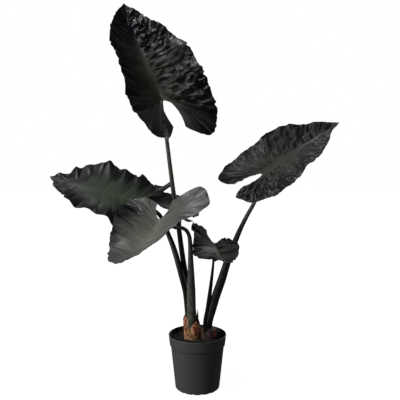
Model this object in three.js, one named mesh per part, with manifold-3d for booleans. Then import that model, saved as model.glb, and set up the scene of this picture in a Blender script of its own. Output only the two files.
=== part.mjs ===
// A potted alocasia: six leaves on long stems that rise from two corms in a black nursery pot.
// Millimetres, +Z up. The origin is the middle of the pot's flat base, on the floor, and the
// side of the plant that faces a viewer is towards -Y.
//
// Every blade is one thin waved sheet. Its place on the sheet is given by two shares: q runs
// along the margin from the tip (0) to the inner end of a back lobe (1), and t runs out from the
// midrib (0) to the margin (1). A line of equal q is the path of a side vein.

import * as THREE from 'three';
import { mergeVertices } from 'three/addons/utils/BufferGeometryUtils.js';
import Module from 'manifold-3d';

const wasm = await Module();
wasm.setup();

const { degToRad, lerp, smoothstep, clamp } = THREE.MathUtils;

// Clearance between pieces that touch on the real plant, and the offset that leaves as much
// between a stem and the slanting underside of its blade.
const GAP = 0.3;
const BLADE_SEAT = 0.5;

// Pot: a tapered plastic nursery pot with a collar.
const POT_HEIGHT = 170;
const POT_RIM_RADIUS = 90;
const POT_COLLAR_FOOT_RADIUS = 85.8;
const POT_COLLAR_FOOT_Z = 136;
const POT_BODY_TOP_RADIUS = 82.8;
const POT_BODY_TOP_Z = 133.5;
const POT_BODY_FOOT_RADIUS = 69;
const POT_CHAMFER_Z = 2.6;
const POT_BASE_RADIUS = 67;
const POT_WALL = 1.8;
const POT_FLOOR = 2.4;
const POT_LIP_ROUND = 1;
const POT_SEGMENTS = 48;
const DRAIN_COUNT = 16;
const DRAIN_WIDTH = 8;
const DRAIN_HEIGHT = 4;
const DRAIN_INNER_RADIUS = 58;

// Soil: its level, and how much its top is heaped and broken up.
const SOIL_TOP_Z = 154.5;
const SOIL_RING_RADII = [84.4, 78, 66, 54, 42, 28, 14];
const SOIL_SEGMENTS = 32;
const SOIL_HEAP = 2.5;
const SOIL_SIDE_GAP = 0.9;

// Blade sheet: rows along the margin, and places of the columns from midrib to margin.
const ROWS_A_VEIN = 4;
const VEINS_A_SIDE = 7;
const BLADE_COLUMNS = [0.05, 0.26, 0.5, 0.72, 0.88, 1];
const SMALL_LEAF = 200;
const BLADE_THICKNESS = 1.2;
// The vein that runs straight out from the stem: those past it turn back into the lobe.
const SINUS_SHARE = 0.62;
const VEIN_BOW = 0.1;
const SINUS_BOW = 0.15;
// Where along the midrib, in lengths, the slope of a lobe passes into that of the main blade.
const LOBE_SLOPE_UNTIL = -0.25;
const MAIN_SLOPE_FROM = 0.15;
// Within this share of a vein the sheet is calm, so that the gathered veins don't cross.
const CALM_SHARE = 0.4;
const VEIN_RIB = 0.8;
const MIDRIB_HEIGHT = 3.4;
const MIDRIB_TAPER = 0.85;
const MIDRIB_END = 0.9;
const CUTTER_HEIGHT = 16;

// Stems.
const STEM_SIDES = 10;
const STEM_STEP = 28;

const FINISH = {
  pot: new THREE.MeshStandardMaterial({ color: 0x2c2c2c, roughness: 0.55, metalness: 0 }),
  soil: new THREE.MeshStandardMaterial({ color: 0x352b24, roughness: 0.95, metalness: 0 }),
  paleCorm: new THREE.MeshStandardMaterial({ color: 0x9a6a4c, roughness: 0.85, metalness: 0 }),
  darkCorm: new THREE.MeshStandardMaterial({ color: 0x5f423c, roughness: 0.85, metalness: 0 }),
  stem: new THREE.MeshStandardMaterial({ color: 0x45443c, roughness: 0.45, metalness: 0 }),
  blade: new THREE.MeshStandardMaterial({ color: 0x24262a, roughness: 0.35, metalness: 0 }),
};

// Leaves. at: where the stem meets the blade. heading, rise and roll turn the midrib, in degrees:
// heading from +X towards +Y, rise above level, roll lifting the left side. The pairs are left,
// then right. fold is the slope of a side at the midrib and curl the further slope it gains by
// half a length out; lobeFold and lobeCurl are the same behind the stem. bend lifts the tip, and
// lobeBend drops the lobes. notch is how far the two lobes are grown together behind the stem.
// outline gives each side's margin from the tip to the lobe's inner end, as shares of the length
// along the midrib and across it. wave, waves and phase give the waved margin, and puff the
// swelling between side veins. stem is x, y, z and radius from the corm up; neck is x, z and
// radius in the blade's own frame.
const LEAVES = [
  {
    name: 'top',
    at: [-110, 20, 898], heading: 124, rise: 41, roll: -4, length: 403,
    fold: [26, 27], curl: [20, 13], lobeFold: [17, 12], lobeCurl: [5, 5],
    bend: 24, lobeBend: 15, twist: -5, notch: 14,
    outline: [
      [[0.89, 0.11], [0.68, 0.26], [0.41, 0.38], [0.11, 0.43], [-0.18, 0.41], [-0.41, 0.33],
        [-0.47, 0.19], [-0.37, 0.04]],
      [[0.89, 0.12], [0.67, 0.27], [0.4, 0.38], [0.12, 0.39], [-0.14, 0.38], [-0.33, 0.32],
        [-0.43, 0.23], [-0.35, 0.07]],
    ],
    wave: 5, waves: 7, phase: [0.2, 0.6], puff: 3.2,
    stem: [[-19, 16, 165, 8], [-20, 18, 200, 8], [-22, 19, 224, 8.2], [-28, 18, 279, 8.6],
      [-36, 19, 343, 8.6], [-49, 12, 432, 8.2], [-57, 8, 497, 7.5], [-70, 10, 586, 7.1],
      [-82, 15, 678, 6.6], [-94, 21, 773, 6]],
    neck: [[-14, -14, 5], [-3, 4, 5]],
  },
  {
    name: 'right',
    at: [204, -20, 674.5], heading: 10, rise: 32, roll: 34.5, length: 274,
    fold: [16, 7], curl: [12, 6], lobeFold: [11, 8], lobeCurl: [1, -3],
    bend: 0, lobeBend: -17, twist: -2, notch: 13,
    outline: [
      [[0.9, 0.11], [0.67, 0.26], [0.42, 0.39], [0.13, 0.37], [-0.14, 0.36], [-0.35, 0.31],
        [-0.48, 0.21], [-0.42, 0.05]],
      [[0.86, 0.06], [0.65, 0.23], [0.37, 0.33], [0.1, 0.43], [-0.16, 0.42], [-0.38, 0.33],
        [-0.46, 0.16], [-0.34, 0.03]],
    ],
    wave: 3, waves: 7, phase: [0.1, 0.5], puff: 2.4,
    stem: [[33, 0, 165, 12], [35, 1, 205, 12.4], [45, 3, 244, 13.2], [54, 5, 275, 13.5],
      [64, 8, 306, 13.5], [75, 10, 337, 13.2], [91, 13, 387, 11.8], [106, 15, 430, 10.2],
      [121, 16, 468, 8.4], [137, 13, 506, 7.1], [155, 8, 543, 6.4], [175, 2, 582, 5.9]],
    neck: [[-14, -14, 5], [-3, 4, 5]],
  },
  {
    name: 'left',
    at: [-221, 70, 583], heading: 170, rise: 15, roll: -43, length: 271,
    fold: [11, 10], curl: [9, 8], lobeFold: [-7, 2], lobeCurl: [-6, 0],
    bend: -1, lobeBend: -48, twist: -4, notch: 15,
    outline: [
      [[0.88, 0.11], [0.66, 0.27], [0.4, 0.36], [0.11, 0.41], [-0.14, 0.42], [-0.32, 0.33],
        [-0.41, 0.2], [-0.36, 0.08]],
      [[0.88, 0.1], [0.65, 0.26], [0.39, 0.39], [0.13, 0.36], [-0.09, 0.37], [-0.31, 0.27],
        [-0.53, 0.27], [-0.45, 0.12]],
    ],
    wave: 7, waves: 8, phase: [0.1, 0.4], puff: 3,
    stem: [[-31, 4, 165, 7.2], [-31, 4, 200, 7.4], [-31, 3, 224, 7.6], [-34, 0, 270, 8],
      [-38, 0, 305, 8.3], [-45, -2, 337, 8.6], [-53, 0, 367, 8.9], [-71, 17, 428, 8.7],
      [-91, 32, 477, 7.5], [-119, 44, 536, 6.4]],
    neck: [[-60, -8, 5.6], [-19, -11, 5.2], [-3, 4, 5]],
  },
  {
    name: 'front',
    at: [-115, -120, 532], heading: 241, rise: -41, roll: -20, length: 268,
    fold: [33, 17], curl: [17, 10], lobeFold: [21, -5], lobeCurl: [-9, -3],
    bend: 51, lobeBend: 0, twist: 15, notch: 16,
    outline: [
      [[0.86, 0.09], [0.63, 0.19], [0.39, 0.31], [0.14, 0.37], [-0.12, 0.34], [-0.39, 0.46],
        [-0.6, 0.28], [-0.37, 0.04]],
      [[0.88, 0.13], [0.64, 0.24], [0.39, 0.35], [0.15, 0.41], [-0.06, 0.43], [-0.19, 0.41],
        [-0.28, 0.27], [-0.28, 0.12]],
    ],
    wave: 3.5, waves: 7, phase: [0.3, 0.1], puff: 2,
    stem: [[-17, -10, 165, 12], [-19, -14, 210, 13.3], [-18, -18, 249, 13.9],
      [-19, -27, 315, 13.2], [-19, -36, 363, 10.4], [-20, -44, 411, 8.4], [-21, -52, 458, 6.7],
      [-24, -59, 486, 6.1], [-32, -66, 503, 5.8], [-45, -74, 512, 5.6], [-62, -84, 514, 5.3]],
    neck: [[-22, -18, 5], [-2, 4, 5]],
  },
  {
    name: 'small',
    at: [51, -100, 466], heading: -83, rise: -19, roll: -15, length: 190,
    fold: [18, 2], curl: [8, -7], lobeFold: [-2, 12], lobeCurl: [5, -6],
    bend: 30, lobeBend: 0, twist: 10, notch: 12,
    outline: [
      [[0.87, 0.08], [0.64, 0.21], [0.38, 0.3], [0.1, 0.35], [-0.16, 0.39], [-0.34, 0.35],
        [-0.38, 0.24], [-0.28, 0.15]],
      [[0.86, 0.08], [0.64, 0.23], [0.42, 0.37], [0.14, 0.36], [-0.15, 0.35], [-0.36, 0.36],
        [-0.49, 0.24], [-0.46, 0.1]],
    ],
    wave: 3.5, waves: 6, phase: [0.4, 0.7], puff: 2,
    stem: [[26, -18, 165, 5], [23, -22, 195, 5.7], [24, -28, 221, 5.9], [30, -36, 255, 6.1],
      [36, -48, 299, 6.2], [42, -66, 355, 5], [47, -82, 413, 3.4]],
    neck: [[-9, -12, 2.6], [-3, 4, 2.6]],
  },
  {
    name: 'rear',
    at: [-62, 82, 536], heading: 165, rise: 24, roll: -26, length: 140,
    fold: [35, 35], curl: [5, 5], lobeFold: [25, 25], lobeCurl: [0, 0],
    bend: 0, lobeBend: -10, twist: 0, notch: 11,
    outline: [
      [[0.88, 0.1], [0.66, 0.25], [0.4, 0.36], [0.12, 0.41], [-0.14, 0.39], [-0.34, 0.31],
        [-0.45, 0.18], [-0.41, 0.07]],
      [[0.88, 0.1], [0.66, 0.25], [0.4, 0.36], [0.12, 0.41], [-0.14, 0.39], [-0.34, 0.31],
        [-0.45, 0.18], [-0.41, 0.07]],
    ],
    wave: 2.5, waves: 6, phase: [0.2, 0.5], puff: 1.6,
    stem: [[-5, 14, 165, 4.5], [-5, 18, 200, 4.6], [-11, 27, 250, 4.8], [-20, 32, 300, 5],
      [-34, 38, 343, 5], [-48, 44, 426, 5], [-56, 54, 480, 4.6], [-55, 67, 513, 4]],
    neck: [[-8, -9, 3.6], [-2, 3, 3.6]],
  },
];

// Corms: the ringed, upright rootstocks. profile is height and radius. scales are the dry or
// fresh sheath leaves that stand on a corm: foot, tip, the way they face in degrees from +X
// towards +Y, half width and thickness.
const CORM_SIDES = 20;
const CORM_RING_TILT = 0.9;
const SCALE_SIDES = 8;
const SCALE_WIDTHS = [0.75, 0.95, 1, 0.85, 0.5, 0.08];
const SCALE_BULGE = 2.5;
const CORMS = [
  {
    name: 'corm_left',
    finish: FINISH.paleCorm,
    centre: [-16, 1],
    profile: [[128, 12], [134, 18.5], [142, 22.5], [148, 25], [152, 23.6], [156, 25.2], [160, 23.6],
      [165, 25.2], [169, 24], [174, 25.6], [179, 24.6], [184, 25.8], [190, 25.4], [196, 23.5], [199, 18]],
    flare: 1.2,
    scales: [
      { foot: [-33, -17, 178], tip: [-38.5, -20, 236], facing: 245, halfWidth: 8.4, thickness: 3 },
      { foot: [-6, -23, 172], tip: [-4, -26, 217], facing: 285, halfWidth: 14, thickness: 3 },
      { foot: [5, -10, 176], tip: [2, -8, 222], facing: 290, halfWidth: 5.4, thickness: 2.6 },
      { foot: [-1, 2, 186], tip: [0.5, -1, 250], facing: 285, halfWidth: 3.4, thickness: 2.4 },
      { foot: [-12, 24, 182], tip: [-8, 31, 222], facing: 85, halfWidth: 10, thickness: 2.6 },
      { foot: [-30, 18, 176], tip: [-33, 25, 208], facing: 130, halfWidth: 8, thickness: 2.6 },
    ],
  },
  {
    name: 'corm_right',
    finish: FINISH.darkCorm,
    centre: [36, -4],
    profile: [[130, 12], [136, 18], [144, 22.6], [150, 24.8], [154, 23.6], [158, 25], [162, 23.6],
      [166, 24.8], [170, 23.8], [174, 24.6], [179, 23.6], [184, 22], [187, 17]],
    flare: 1,
    scales: [
      { foot: [52, -17, 154], tip: [54, -20, 190], facing: 315, halfWidth: 6.5, thickness: 2.6 },
      { foot: [20, -19, 156], tip: [16, -17, 198], facing: 250, halfWidth: 6, thickness: 2.6 },
      { foot: [36, 17, 166], tip: [37, 22, 200], facing: 80, halfWidth: 9, thickness: 2.6 },
    ],
  },
];

// Meshes and solids.

function solidOf(positions, triangles) {
  return new wasm.Manifold(new wasm.Mesh({
    numProp: 3,
    vertProperties: new Float32Array(positions.flatMap((p) => [p.x, p.y, p.z])),
    triVerts: new Uint32Array(triangles.flat()),
  }));
}

/** A three.js geometry as a solid, with its seams merged and its empty pole triangles dropped. */
function solidOfGeometry(geometry) {
  geometry.deleteAttribute('normal');
  geometry.deleteAttribute('uv');
  const merged = mergeVertices(geometry, 1e-3);
  const place = merged.getAttribute('position');
  const points = Array.from({ length: place.count }, (_, n) => (
    new THREE.Vector3().fromBufferAttribute(place, n)));
  const triangles = [];
  for (let i = 0; i < merged.index.count; i += 3) {
    const [a, b, c] = merged.index.array.slice(i, i + 3);
    if (a !== b && b !== c && c !== a) triangles.push([a, b, c]);
  }
  return solidOf(points, triangles);
}

function namedMesh(name, solid, material) {
  const { numProp, vertProperties, triVerts } = solid.getMesh();
  if (numProp !== 3) throw new Error(`${name} carries more than positions`);
  const geometry = new THREE.BufferGeometry();
  geometry.setAttribute('position', new THREE.BufferAttribute(new Float32Array(vertProperties), 3));
  geometry.setIndex(new THREE.BufferAttribute(new Uint32Array(triVerts), 1));
  geometry.computeVertexNormals();
  const mesh = new THREE.Mesh(geometry, material);
  mesh.name = name;
  return mesh;
}

/** The main body of a solid that a cut has left in more than one piece. */
function mainBody(solid) {
  return solid.decompose().reduce((a, b) => (b.volume() > a.volume() ? b : a));
}

/**
 * A closed skin over rings of points, each counterclockwise seen from the last ring's side.
 * back moves the first ring away from the second.
 */
function loft(rings, back = 0) {
  const sides = rings[0].length;
  const middle = (ring) => ring.reduce((sum, p) => sum.add(p), new THREE.Vector3()).divideScalar(sides);
  const away = middle(rings[0]).sub(middle(rings[1])).setLength(back);
  rings[0].forEach((p) => p.add(away));
  const points = rings.flat();
  const triangles = [];
  for (let i = 0; i + 1 < rings.length; i += 1) {
    for (let j = 0; j < sides; j += 1) {
      const a = i * sides + j;
      const b = i * sides + (j + 1) % sides;
      triangles.push([a, b, b + sides], [a, b + sides, a + sides]);
    }
  }
  const first = points.push(middle(rings[0])) - 1;
  const last = points.push(middle(rings.at(-1))) - 1;
  const lastRing = (rings.length - 1) * sides;
  for (let j = 0; j < sides; j += 1) {
    const next = (j + 1) % sides;
    triangles.push([first, next, j], [last, lastRing + j, lastRing + next]);
  }
  return solidOf(points, triangles);
}

// Blades.

/** Turns the blade's frame (x along the midrib, y to its left, z out of its upper face). */
function leafFrame(leaf) {
  const heading = degToRad(leaf.heading);
  const rise = degToRad(leaf.rise);
  const ahead = new THREE.Vector3(
    Math.cos(heading) * Math.cos(rise), Math.sin(heading) * Math.cos(rise), Math.sin(rise));
  const left = new THREE.Vector3(-Math.sin(heading), Math.cos(heading), 0)
    .applyAxisAngle(ahead, degToRad(leaf.roll));
  const up = ahead.clone().cross(left);
  return new THREE.Matrix4().makeBasis(ahead, left, up).setPosition(...leaf.at);
}

/** The margin curve of each side, left then right, on the flat blade. */
function marginCurves(leaf) {
  return leaf.outline.map((side) => new THREE.CatmullRomCurve3(
    [[1, 0], ...side].map(([x, y]) => new THREE.Vector3(x * leaf.length, y * leaf.length, 0))));
}

/** The waved margin and the swelling between side veins, as a height off the smooth sheet. */
function relief(leaf, side, q, t) {
  const fade = Math.sqrt(Math.sin(Math.PI * clamp(q, 0, 1)))
    * smoothstep(t, BLADE_COLUMNS[0], CALM_SHARE);
  const wave = leaf.wave * fade * t ** 3 * Math.sin(2 * Math.PI * (leaf.waves * q + leaf.phase[side]));
  const swell = Math.abs(Math.sin(Math.PI * VEINS_A_SIDE * q)) - 0.5;
  return wave + leaf.puff * fade * swell * Math.sin(Math.PI * t ** 0.8);
}

/** The upper face at shares q and t of one side, in the blade's frame. */
function bladePoint(leaf, curves, side, q, t) {
  const L = leaf.length;
  const margin = curves[side].getPoint(q);
  const ahead = q < SINUS_SHARE;
  const rootX = ahead ? L * (1 - q / SINUS_SHARE)
    : -leaf.notch * (q - SINUS_SHARE) / (1 - SINUS_SHARE);
  const behind = smoothstep(q, SINUS_SHARE, 1);
  const arch = 2 * t * (1 - t) * Math.hypot(margin.x - rootX, margin.y);
  const x = lerp(rootX, margin.x, t) - arch * VEIN_BOW * (1 - behind);
  const y = margin.y * t + arch * SINUS_BOW * behind;

  const share = smoothstep(x, LOBE_SLOPE_UNTIL * L, MAIN_SLOPE_FROM * L);
  const fold = degToRad(lerp(leaf.lobeFold[side], leaf.fold[side], share));
  const curl = degToRad(lerp(leaf.lobeCurl[side], leaf.curl[side], share)) / (0.5 * L) || 1e-7;
  const slope = fold + curl * y;
  const out = (Math.sin(slope) - Math.sin(fold)) / curl * (side === 0 ? 1 : -1);
  const lift = (Math.cos(fold) - Math.cos(slope)) / curl + relief(leaf, side, q, t);

  const bow = (x < 0 ? -degToRad(leaf.lobeBend) / (0.5 * L) : degToRad(leaf.bend) / L) || 1e-8;
  const turn = bow * x;
  const twist = degToRad(leaf.twist) * x / L;
  const across = out * Math.cos(twist) - lift * Math.sin(twist);
  const height = lift * Math.cos(twist) + out * Math.sin(twist);
  return new THREE.Vector3(
    Math.sin(turn) / bow - height * Math.sin(turn),
    across,
    (1 - Math.cos(turn)) / bow + height * Math.cos(turn));
}

/** How far the midrib and the side veins stand out below the blade. */
function ribHeight(q, t) {
  if (t === 0) {
    const towardsTip = Math.sqrt(Math.max(0, 1 - q / SINUS_SHARE));
    const behind = smoothstep(q, SINUS_SHARE, MIDRIB_END);
    return MIDRIB_HEIGHT * (1 - MIDRIB_TAPER * towardsTip) * (1 - behind);
  }
  const onVein = Math.abs(Math.sin(Math.PI * VEINS_A_SIDE * q)) < 0.01;
  return onVein && q > 0 && q < 1 ? VEIN_RIB * (1 - t ** 2) : 0;
}

/** A blade as a closed sheet. above and below thicken it, for a cutter that keeps clear of it. */
function bladeSolid(leaf, above = 0, below = 0) {
  const rows = VEINS_A_SIDE * (leaf.length < SMALL_LEAF ? ROWS_A_VEIN - 1 : ROWS_A_VEIN);
  const curves = marginCurves(leaf);
  const frame = leafFrame(leaf);
  const columns = [...BLADE_COLUMNS.toReversed().map((t) => [0, t]), [0, 0],
    ...BLADE_COLUMNS.map((t) => [1, t])];
  const width = columns.length;
  const tip = { q: 0, t: 0, at: bladePoint(leaf, curves, 0, 0, 0) };
  const grid = [tip];
  for (let i = 1; i <= rows; i += 1) {
    const q = i / rows;
    for (const [side, t] of columns) grid.push({ q, t, at: bladePoint(leaf, curves, side, q, t) });
  }
  const id = (row, column) => (row === 0 ? 0 : 1 + (row - 1) * width + column);

  const faces = [];
  for (let i = 0; i < rows; i += 1) {
    for (let j = 0; j + 1 < width; j += 1) {
      const quad = [id(i, j), id(i + 1, j), id(i + 1, j + 1), id(i, j + 1)];
      if (i > 0) faces.push([quad[0], quad[2], quad[3]]);
      faces.push([quad[0], quad[1], quad[2]]);
    }
  }
  const normals = grid.map(() => new THREE.Vector3());
  for (const [a, b, c] of faces) {
    const edge = grid[b].at.clone().sub(grid[a].at);
    const area = edge.cross(grid[c].at.clone().sub(grid[a].at));
    for (const corner of [a, b, c]) normals[corner].add(area);
  }
  const top = grid.map((node) => node.at.clone().setZ(node.at.z + above));
  const under = grid.map((node, n) => node.at.clone()
    .addScaledVector(normals[n].normalize(), -(BLADE_THICKNESS + ribHeight(node.q, node.t) + below)));

  const rim = [0];
  for (let i = 1; i <= rows; i += 1) rim.push(id(i, 0));
  for (let j = 1; j < width; j += 1) rim.push(id(rows, j));
  for (let i = rows - 1; i >= 1; i -= 1) rim.push(id(i, width - 1));
  const count = grid.length;
  const triangles = [...faces, ...faces.map(([a, b, c]) => [a + count, c + count, b + count])];
  rim.forEach((a, n) => {
    const b = rim[(n + 1) % rim.length];
    triangles.push([b, a, a + count], [b, a + count, b + count]);
  });
  return solidOf([...top, ...under].map((p) => p.applyMatrix4(frame)), triangles);
}

// Stems.

/** A leaf's stem from its corm to just past its blade, as stations with a radius. */
function stemStations(leaf) {
  const frame = leafFrame(leaf);
  return [
    ...leaf.stem.map(([x, y, z, radius]) => ({ at: new THREE.Vector3(x, y, z), radius })),
    ...leaf.neck.map(([x, z, radius]) => (
      { at: new THREE.Vector3(x, 0, z).applyMatrix4(frame), radius })),
  ];
}

function stemSolid(leaf, grow = 0) {
  const stations = stemStations(leaf);
  const curve = new THREE.CatmullRomCurve3(stations.map((s) => s.at));
  const spans = stations.length - 1;
  const steps = Math.ceil(curve.getLength() / STEM_STEP);
  const side = new THREE.Vector3(1, 0, 0);
  const rings = [];
  for (let i = 0; i <= steps; i += 1) {
    const u = i / steps;
    const middle = curve.getPoint(u);
    const along = curve.getTangent(u);
    side.addScaledVector(along, -side.dot(along)).normalize();
    const other = along.clone().cross(side);
    const span = Math.min(Math.floor(u * spans), spans - 1);
    const radius = grow + lerp(stations[span].radius, stations[span + 1].radius, u * spans - span);
    rings.push(ringOf(STEM_SIDES, (angle) => middle.clone()
      .addScaledVector(side, radius * Math.cos(angle))
      .addScaledVector(other, radius * Math.sin(angle))));
  }
  return loft(rings, grow);
}

function ringOf(sides, pointAt) {
  return Array.from({ length: sides }, (_, n) => pointAt(2 * Math.PI * n / sides));
}

// Corms.

/** A sheath leaf: a thin spindle, pointed at its tip, rooted in the corm. */
function scaleLeaf({ foot, tip, facing, halfWidth, thickness }, grow) {
  const start = new THREE.Vector3(...foot);
  const end = new THREE.Vector3(...tip);
  const turn = THREE.MathUtils.degToRad(facing);
  const outward = new THREE.Vector3(Math.cos(turn), Math.sin(turn), 0);
  const across = new THREE.Vector3(0, 0, 1).cross(outward);
  const rings = SCALE_WIDTHS.map((width, n) => {
    const u = n / (SCALE_WIDTHS.length - 1);
    const middle = start.clone().lerp(end, u)
      .addScaledVector(outward, SCALE_BULGE * Math.sin(Math.PI * u));
    return ringOf(SCALE_SIDES, (angle) => {
      const wide = Math.cos(angle) * (halfWidth * width + grow);
      const thick = Math.sin(angle) * (thickness * (0.35 + 0.65 * width) / 2 + grow);
      const wrap = -(wide ** 2) / (3 * halfWidth);
      return middle.clone().addScaledVector(across, wide).addScaledVector(outward, -thick + wrap);
    });
  });
  return loft(rings, grow);
}

function cormSolid(corm, grow = 0) {
  const [cx, cy] = corm.centre;
  const rings = corm.profile.map(([z, radius], n) => ringOf(CORM_SIDES, (angle) => {
    const lobes = corm.flare * (Math.sin(3 * angle + n) * 0.6 + Math.sin(7 * angle + 2.3 * n) * 0.4);
    const reach = radius + lobes + grow;
    const level = z + CORM_RING_TILT * Math.sin(2 * angle + n);
    return new THREE.Vector3(cx + reach * Math.cos(angle), cy + reach * Math.sin(angle), level);
  }));
  return corm.scales.reduce((body, scale) => body.add(scaleLeaf(scale, grow)), loft(rings, grow));
}

// Pot and soil.

function lathe(profile) {
  const points = profile.map(([radius, z]) => new THREE.Vector2(radius, z));
  const geometry = new THREE.LatheGeometry(points, POT_SEGMENTS);
  geometry.rotateX(Math.PI / 2);
  return solidOfGeometry(geometry);
}

function potSolid() {
  const wall = POT_WALL;
  const shell = lathe([
    [0, 0],
    [POT_BASE_RADIUS, 0],
    [POT_BODY_FOOT_RADIUS, POT_CHAMFER_Z],
    [POT_BODY_TOP_RADIUS, POT_BODY_TOP_Z],
    [POT_COLLAR_FOOT_RADIUS, POT_COLLAR_FOOT_Z],
    [POT_RIM_RADIUS - POT_LIP_ROUND / 2, POT_HEIGHT - 3 * POT_LIP_ROUND],
    [POT_RIM_RADIUS, POT_HEIGHT - POT_LIP_ROUND],
    [POT_RIM_RADIUS - POT_LIP_ROUND, POT_HEIGHT],
    [POT_RIM_RADIUS - wall - POT_LIP_ROUND / 2, POT_HEIGHT],
    [POT_COLLAR_FOOT_RADIUS - wall, POT_COLLAR_FOOT_Z + wall],
    [POT_BODY_TOP_RADIUS - wall, POT_BODY_TOP_Z + wall / 3],
    [POT_BODY_FOOT_RADIUS - wall, POT_CHAMFER_Z + wall / 2],
    [POT_BASE_RADIUS - wall / 3, POT_FLOOR],
    [0, POT_FLOOR],
  ]);
  const depth = POT_BODY_FOOT_RADIUS + POT_WALL - DRAIN_INNER_RADIUS;
  return Array.from({ length: DRAIN_COUNT }).reduce((pot, _, n) => {
    const slot = new THREE.BoxGeometry(depth, DRAIN_WIDTH, DRAIN_HEIGHT * 2);
    slot.translate(DRAIN_INNER_RADIUS + depth / 2, 0, 0);
    slot.rotateZ(2 * Math.PI * (n + 0.5) / DRAIN_COUNT);
    return pot.subtract(solidOfGeometry(slot));
  }, shell);
}

/** The broken-up top of the soil, a sum of slow and quick waves round its level. */
function soilHeight(x, y) {
  const slow = Math.sin(x / 17 + 1) * Math.cos(y / 21 - 0.6);
  const quick = Math.sin(x / 5.3 + y / 9) * Math.sin(y / 6.1 - x / 13);
  return SOIL_TOP_Z + SOIL_HEAP * (0.6 * slow + 0.4 * quick);
}

function soilSolid() {
  const flat = (radius, z) => ringOf(SOIL_SEGMENTS, (angle) => (
    new THREE.Vector3(radius * Math.cos(angle), radius * Math.sin(angle), z)));
  const heaped = (radius) => ringOf(SOIL_SEGMENTS, (angle) => {
    const x = radius * Math.cos(angle);
    const y = radius * Math.sin(angle);
    return new THREE.Vector3(x, y, soilHeight(x, y));
  });
  const inner = POT_WALL + SOIL_SIDE_GAP;
  return loft([
    flat(POT_BASE_RADIUS - 2, POT_FLOOR + GAP),
    flat(POT_BODY_FOOT_RADIUS - inner, POT_CHAMFER_Z + 2),
    flat(POT_BODY_TOP_RADIUS - inner, POT_BODY_TOP_Z),
    flat(POT_COLLAR_FOOT_RADIUS - inner, POT_COLLAR_FOOT_Z + 3),
    ...SOIL_RING_RADII.map(heaped),
  ]);
}

// Assembly.

const plant = new THREE.Group();
plant.add(namedMesh('pot', potSolid(), FINISH.pot));

const soil = CORMS.reduce((body, corm) => body.subtract(cormSolid(corm, GAP)), soilSolid());
plant.add(namedMesh('soil', soil, FINISH.soil));

for (const corm of CORMS) {
  const drilled = LEAVES.reduce((body, leaf) => body.subtract(stemSolid(leaf, GAP)), cormSolid(corm));
  plant.add(namedMesh(corm.name, drilled, corm.finish));
}

for (const leaf of LEAVES) {
  const cutter = bladeSolid(leaf, CUTTER_HEIGHT, BLADE_SEAT);
  const stem = mainBody(stemSolid(leaf).subtract(cutter));
  plant.add(namedMesh(`stem_${leaf.name}`, stem, FINISH.stem));
  plant.add(namedMesh(`blade_${leaf.name}`, bladeSolid(leaf), FINISH.blade));
}

export default plant;
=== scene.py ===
"""Looks of a potted alocasia: six dark, crinkled leaves on long stems, two corms, soil and a nursery pot.

Every piece is a surface of two parameters on a grid, or several such surfaces. It is worked out in
millimetres in the part's own frame and put into its mesh in metres. A blade's two parameters are q, along
the margin from the tip (0) to the inner end of a back lobe (1), and t, along a side vein from the midrib (0)
to the margin (1).
"""

import math

import bmesh
import bpy
import numpy as np
from mathutils import Matrix


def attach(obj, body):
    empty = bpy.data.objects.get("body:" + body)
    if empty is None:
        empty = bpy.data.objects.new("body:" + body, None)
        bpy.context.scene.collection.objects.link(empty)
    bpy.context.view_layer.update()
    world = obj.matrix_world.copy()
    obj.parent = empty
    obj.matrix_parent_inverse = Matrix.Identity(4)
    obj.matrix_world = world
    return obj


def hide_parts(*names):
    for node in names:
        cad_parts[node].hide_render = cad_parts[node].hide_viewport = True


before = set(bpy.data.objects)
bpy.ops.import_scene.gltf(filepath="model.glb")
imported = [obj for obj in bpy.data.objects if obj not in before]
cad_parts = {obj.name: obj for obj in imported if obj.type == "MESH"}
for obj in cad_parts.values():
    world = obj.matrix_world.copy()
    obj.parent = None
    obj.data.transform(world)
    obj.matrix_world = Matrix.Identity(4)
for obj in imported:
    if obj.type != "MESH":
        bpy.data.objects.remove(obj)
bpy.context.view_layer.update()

MM = 0.001
BODY = "root"

# Camera: the photograph is taken from a little above the middle of the plant, looking slightly down.
CAMERA_PLACE = (0.008, -1.7, 0.742)
CAMERA_DOWN_DEG = 5.2
FOCAL_IN_FRAMES = 1.4
SENSOR_MM = 36

# Lights: the place of each, the point that it faces, its width in metres and its power in watts, and how
# strongly the white surroundings light the plant.
LIGHTS = {
    "overhead": ((-0.4, 0.0, 3.0), (0, 0, 0.6), 1.5, 19),
    "spot": ((-0.4, 0.0, 2.9), (0, 0, 0.6), 0.3, 7),
    "key": ((-1.9, -1.6, 2.1), (0, 0, 0.6), 0.5, 42),
    "left_wall": ((-2.4, -1.0, 0.8), (0, 0, 0.5), 1.6, 40),
    "fill": ((2.4, -1.6, 1.2), (0, 0, 0.6), 1.2, 6),
    "back": ((1.3, 2.6, 1.1), (0, 0, 0.6), 1.8, 40),
}
SURROUND_LIGHT = 0.06

# Floor, in metres: half its width, how far from the pot its glow is full, and its glow near and far.
FLOOR_HALF = 8
FULL_GLOW_FROM = 0.9
FLOOR_GLOW = (0.94, 1.0)

# Pot, as the solids have it, with the finer steps of its moulded collar and lip. A pair is a radius and a
# height. POT_ROUNDING is how much of each line a rounded corner takes at most. POLE is the radius of the tiny
# rings that stand in for a point on the axis.
POT_HEIGHT = 170
POT_RIM_RADIUS = 90
POT_COLLAR_FOOT = (85.8, 136)
POT_BODY_TOP = (82.8, 133.5)
POT_BODY_FOOT = (69, 2.6)
POT_BASE_RADIUS = 67
POT_WALL = 1.8
POT_FLOOR = 2.4
POT_ROUNDING = 1.2
POT_SEGMENTS = 192
POT_SHARP_DEG = 40
POLE = 0.01
POT_DARK = "#3a3b3c"
POT_RUBBED = "#464748"
# The colour of the pot's inside is painted shade.
POT_INSIDE_SHADE = "#12110f"

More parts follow.
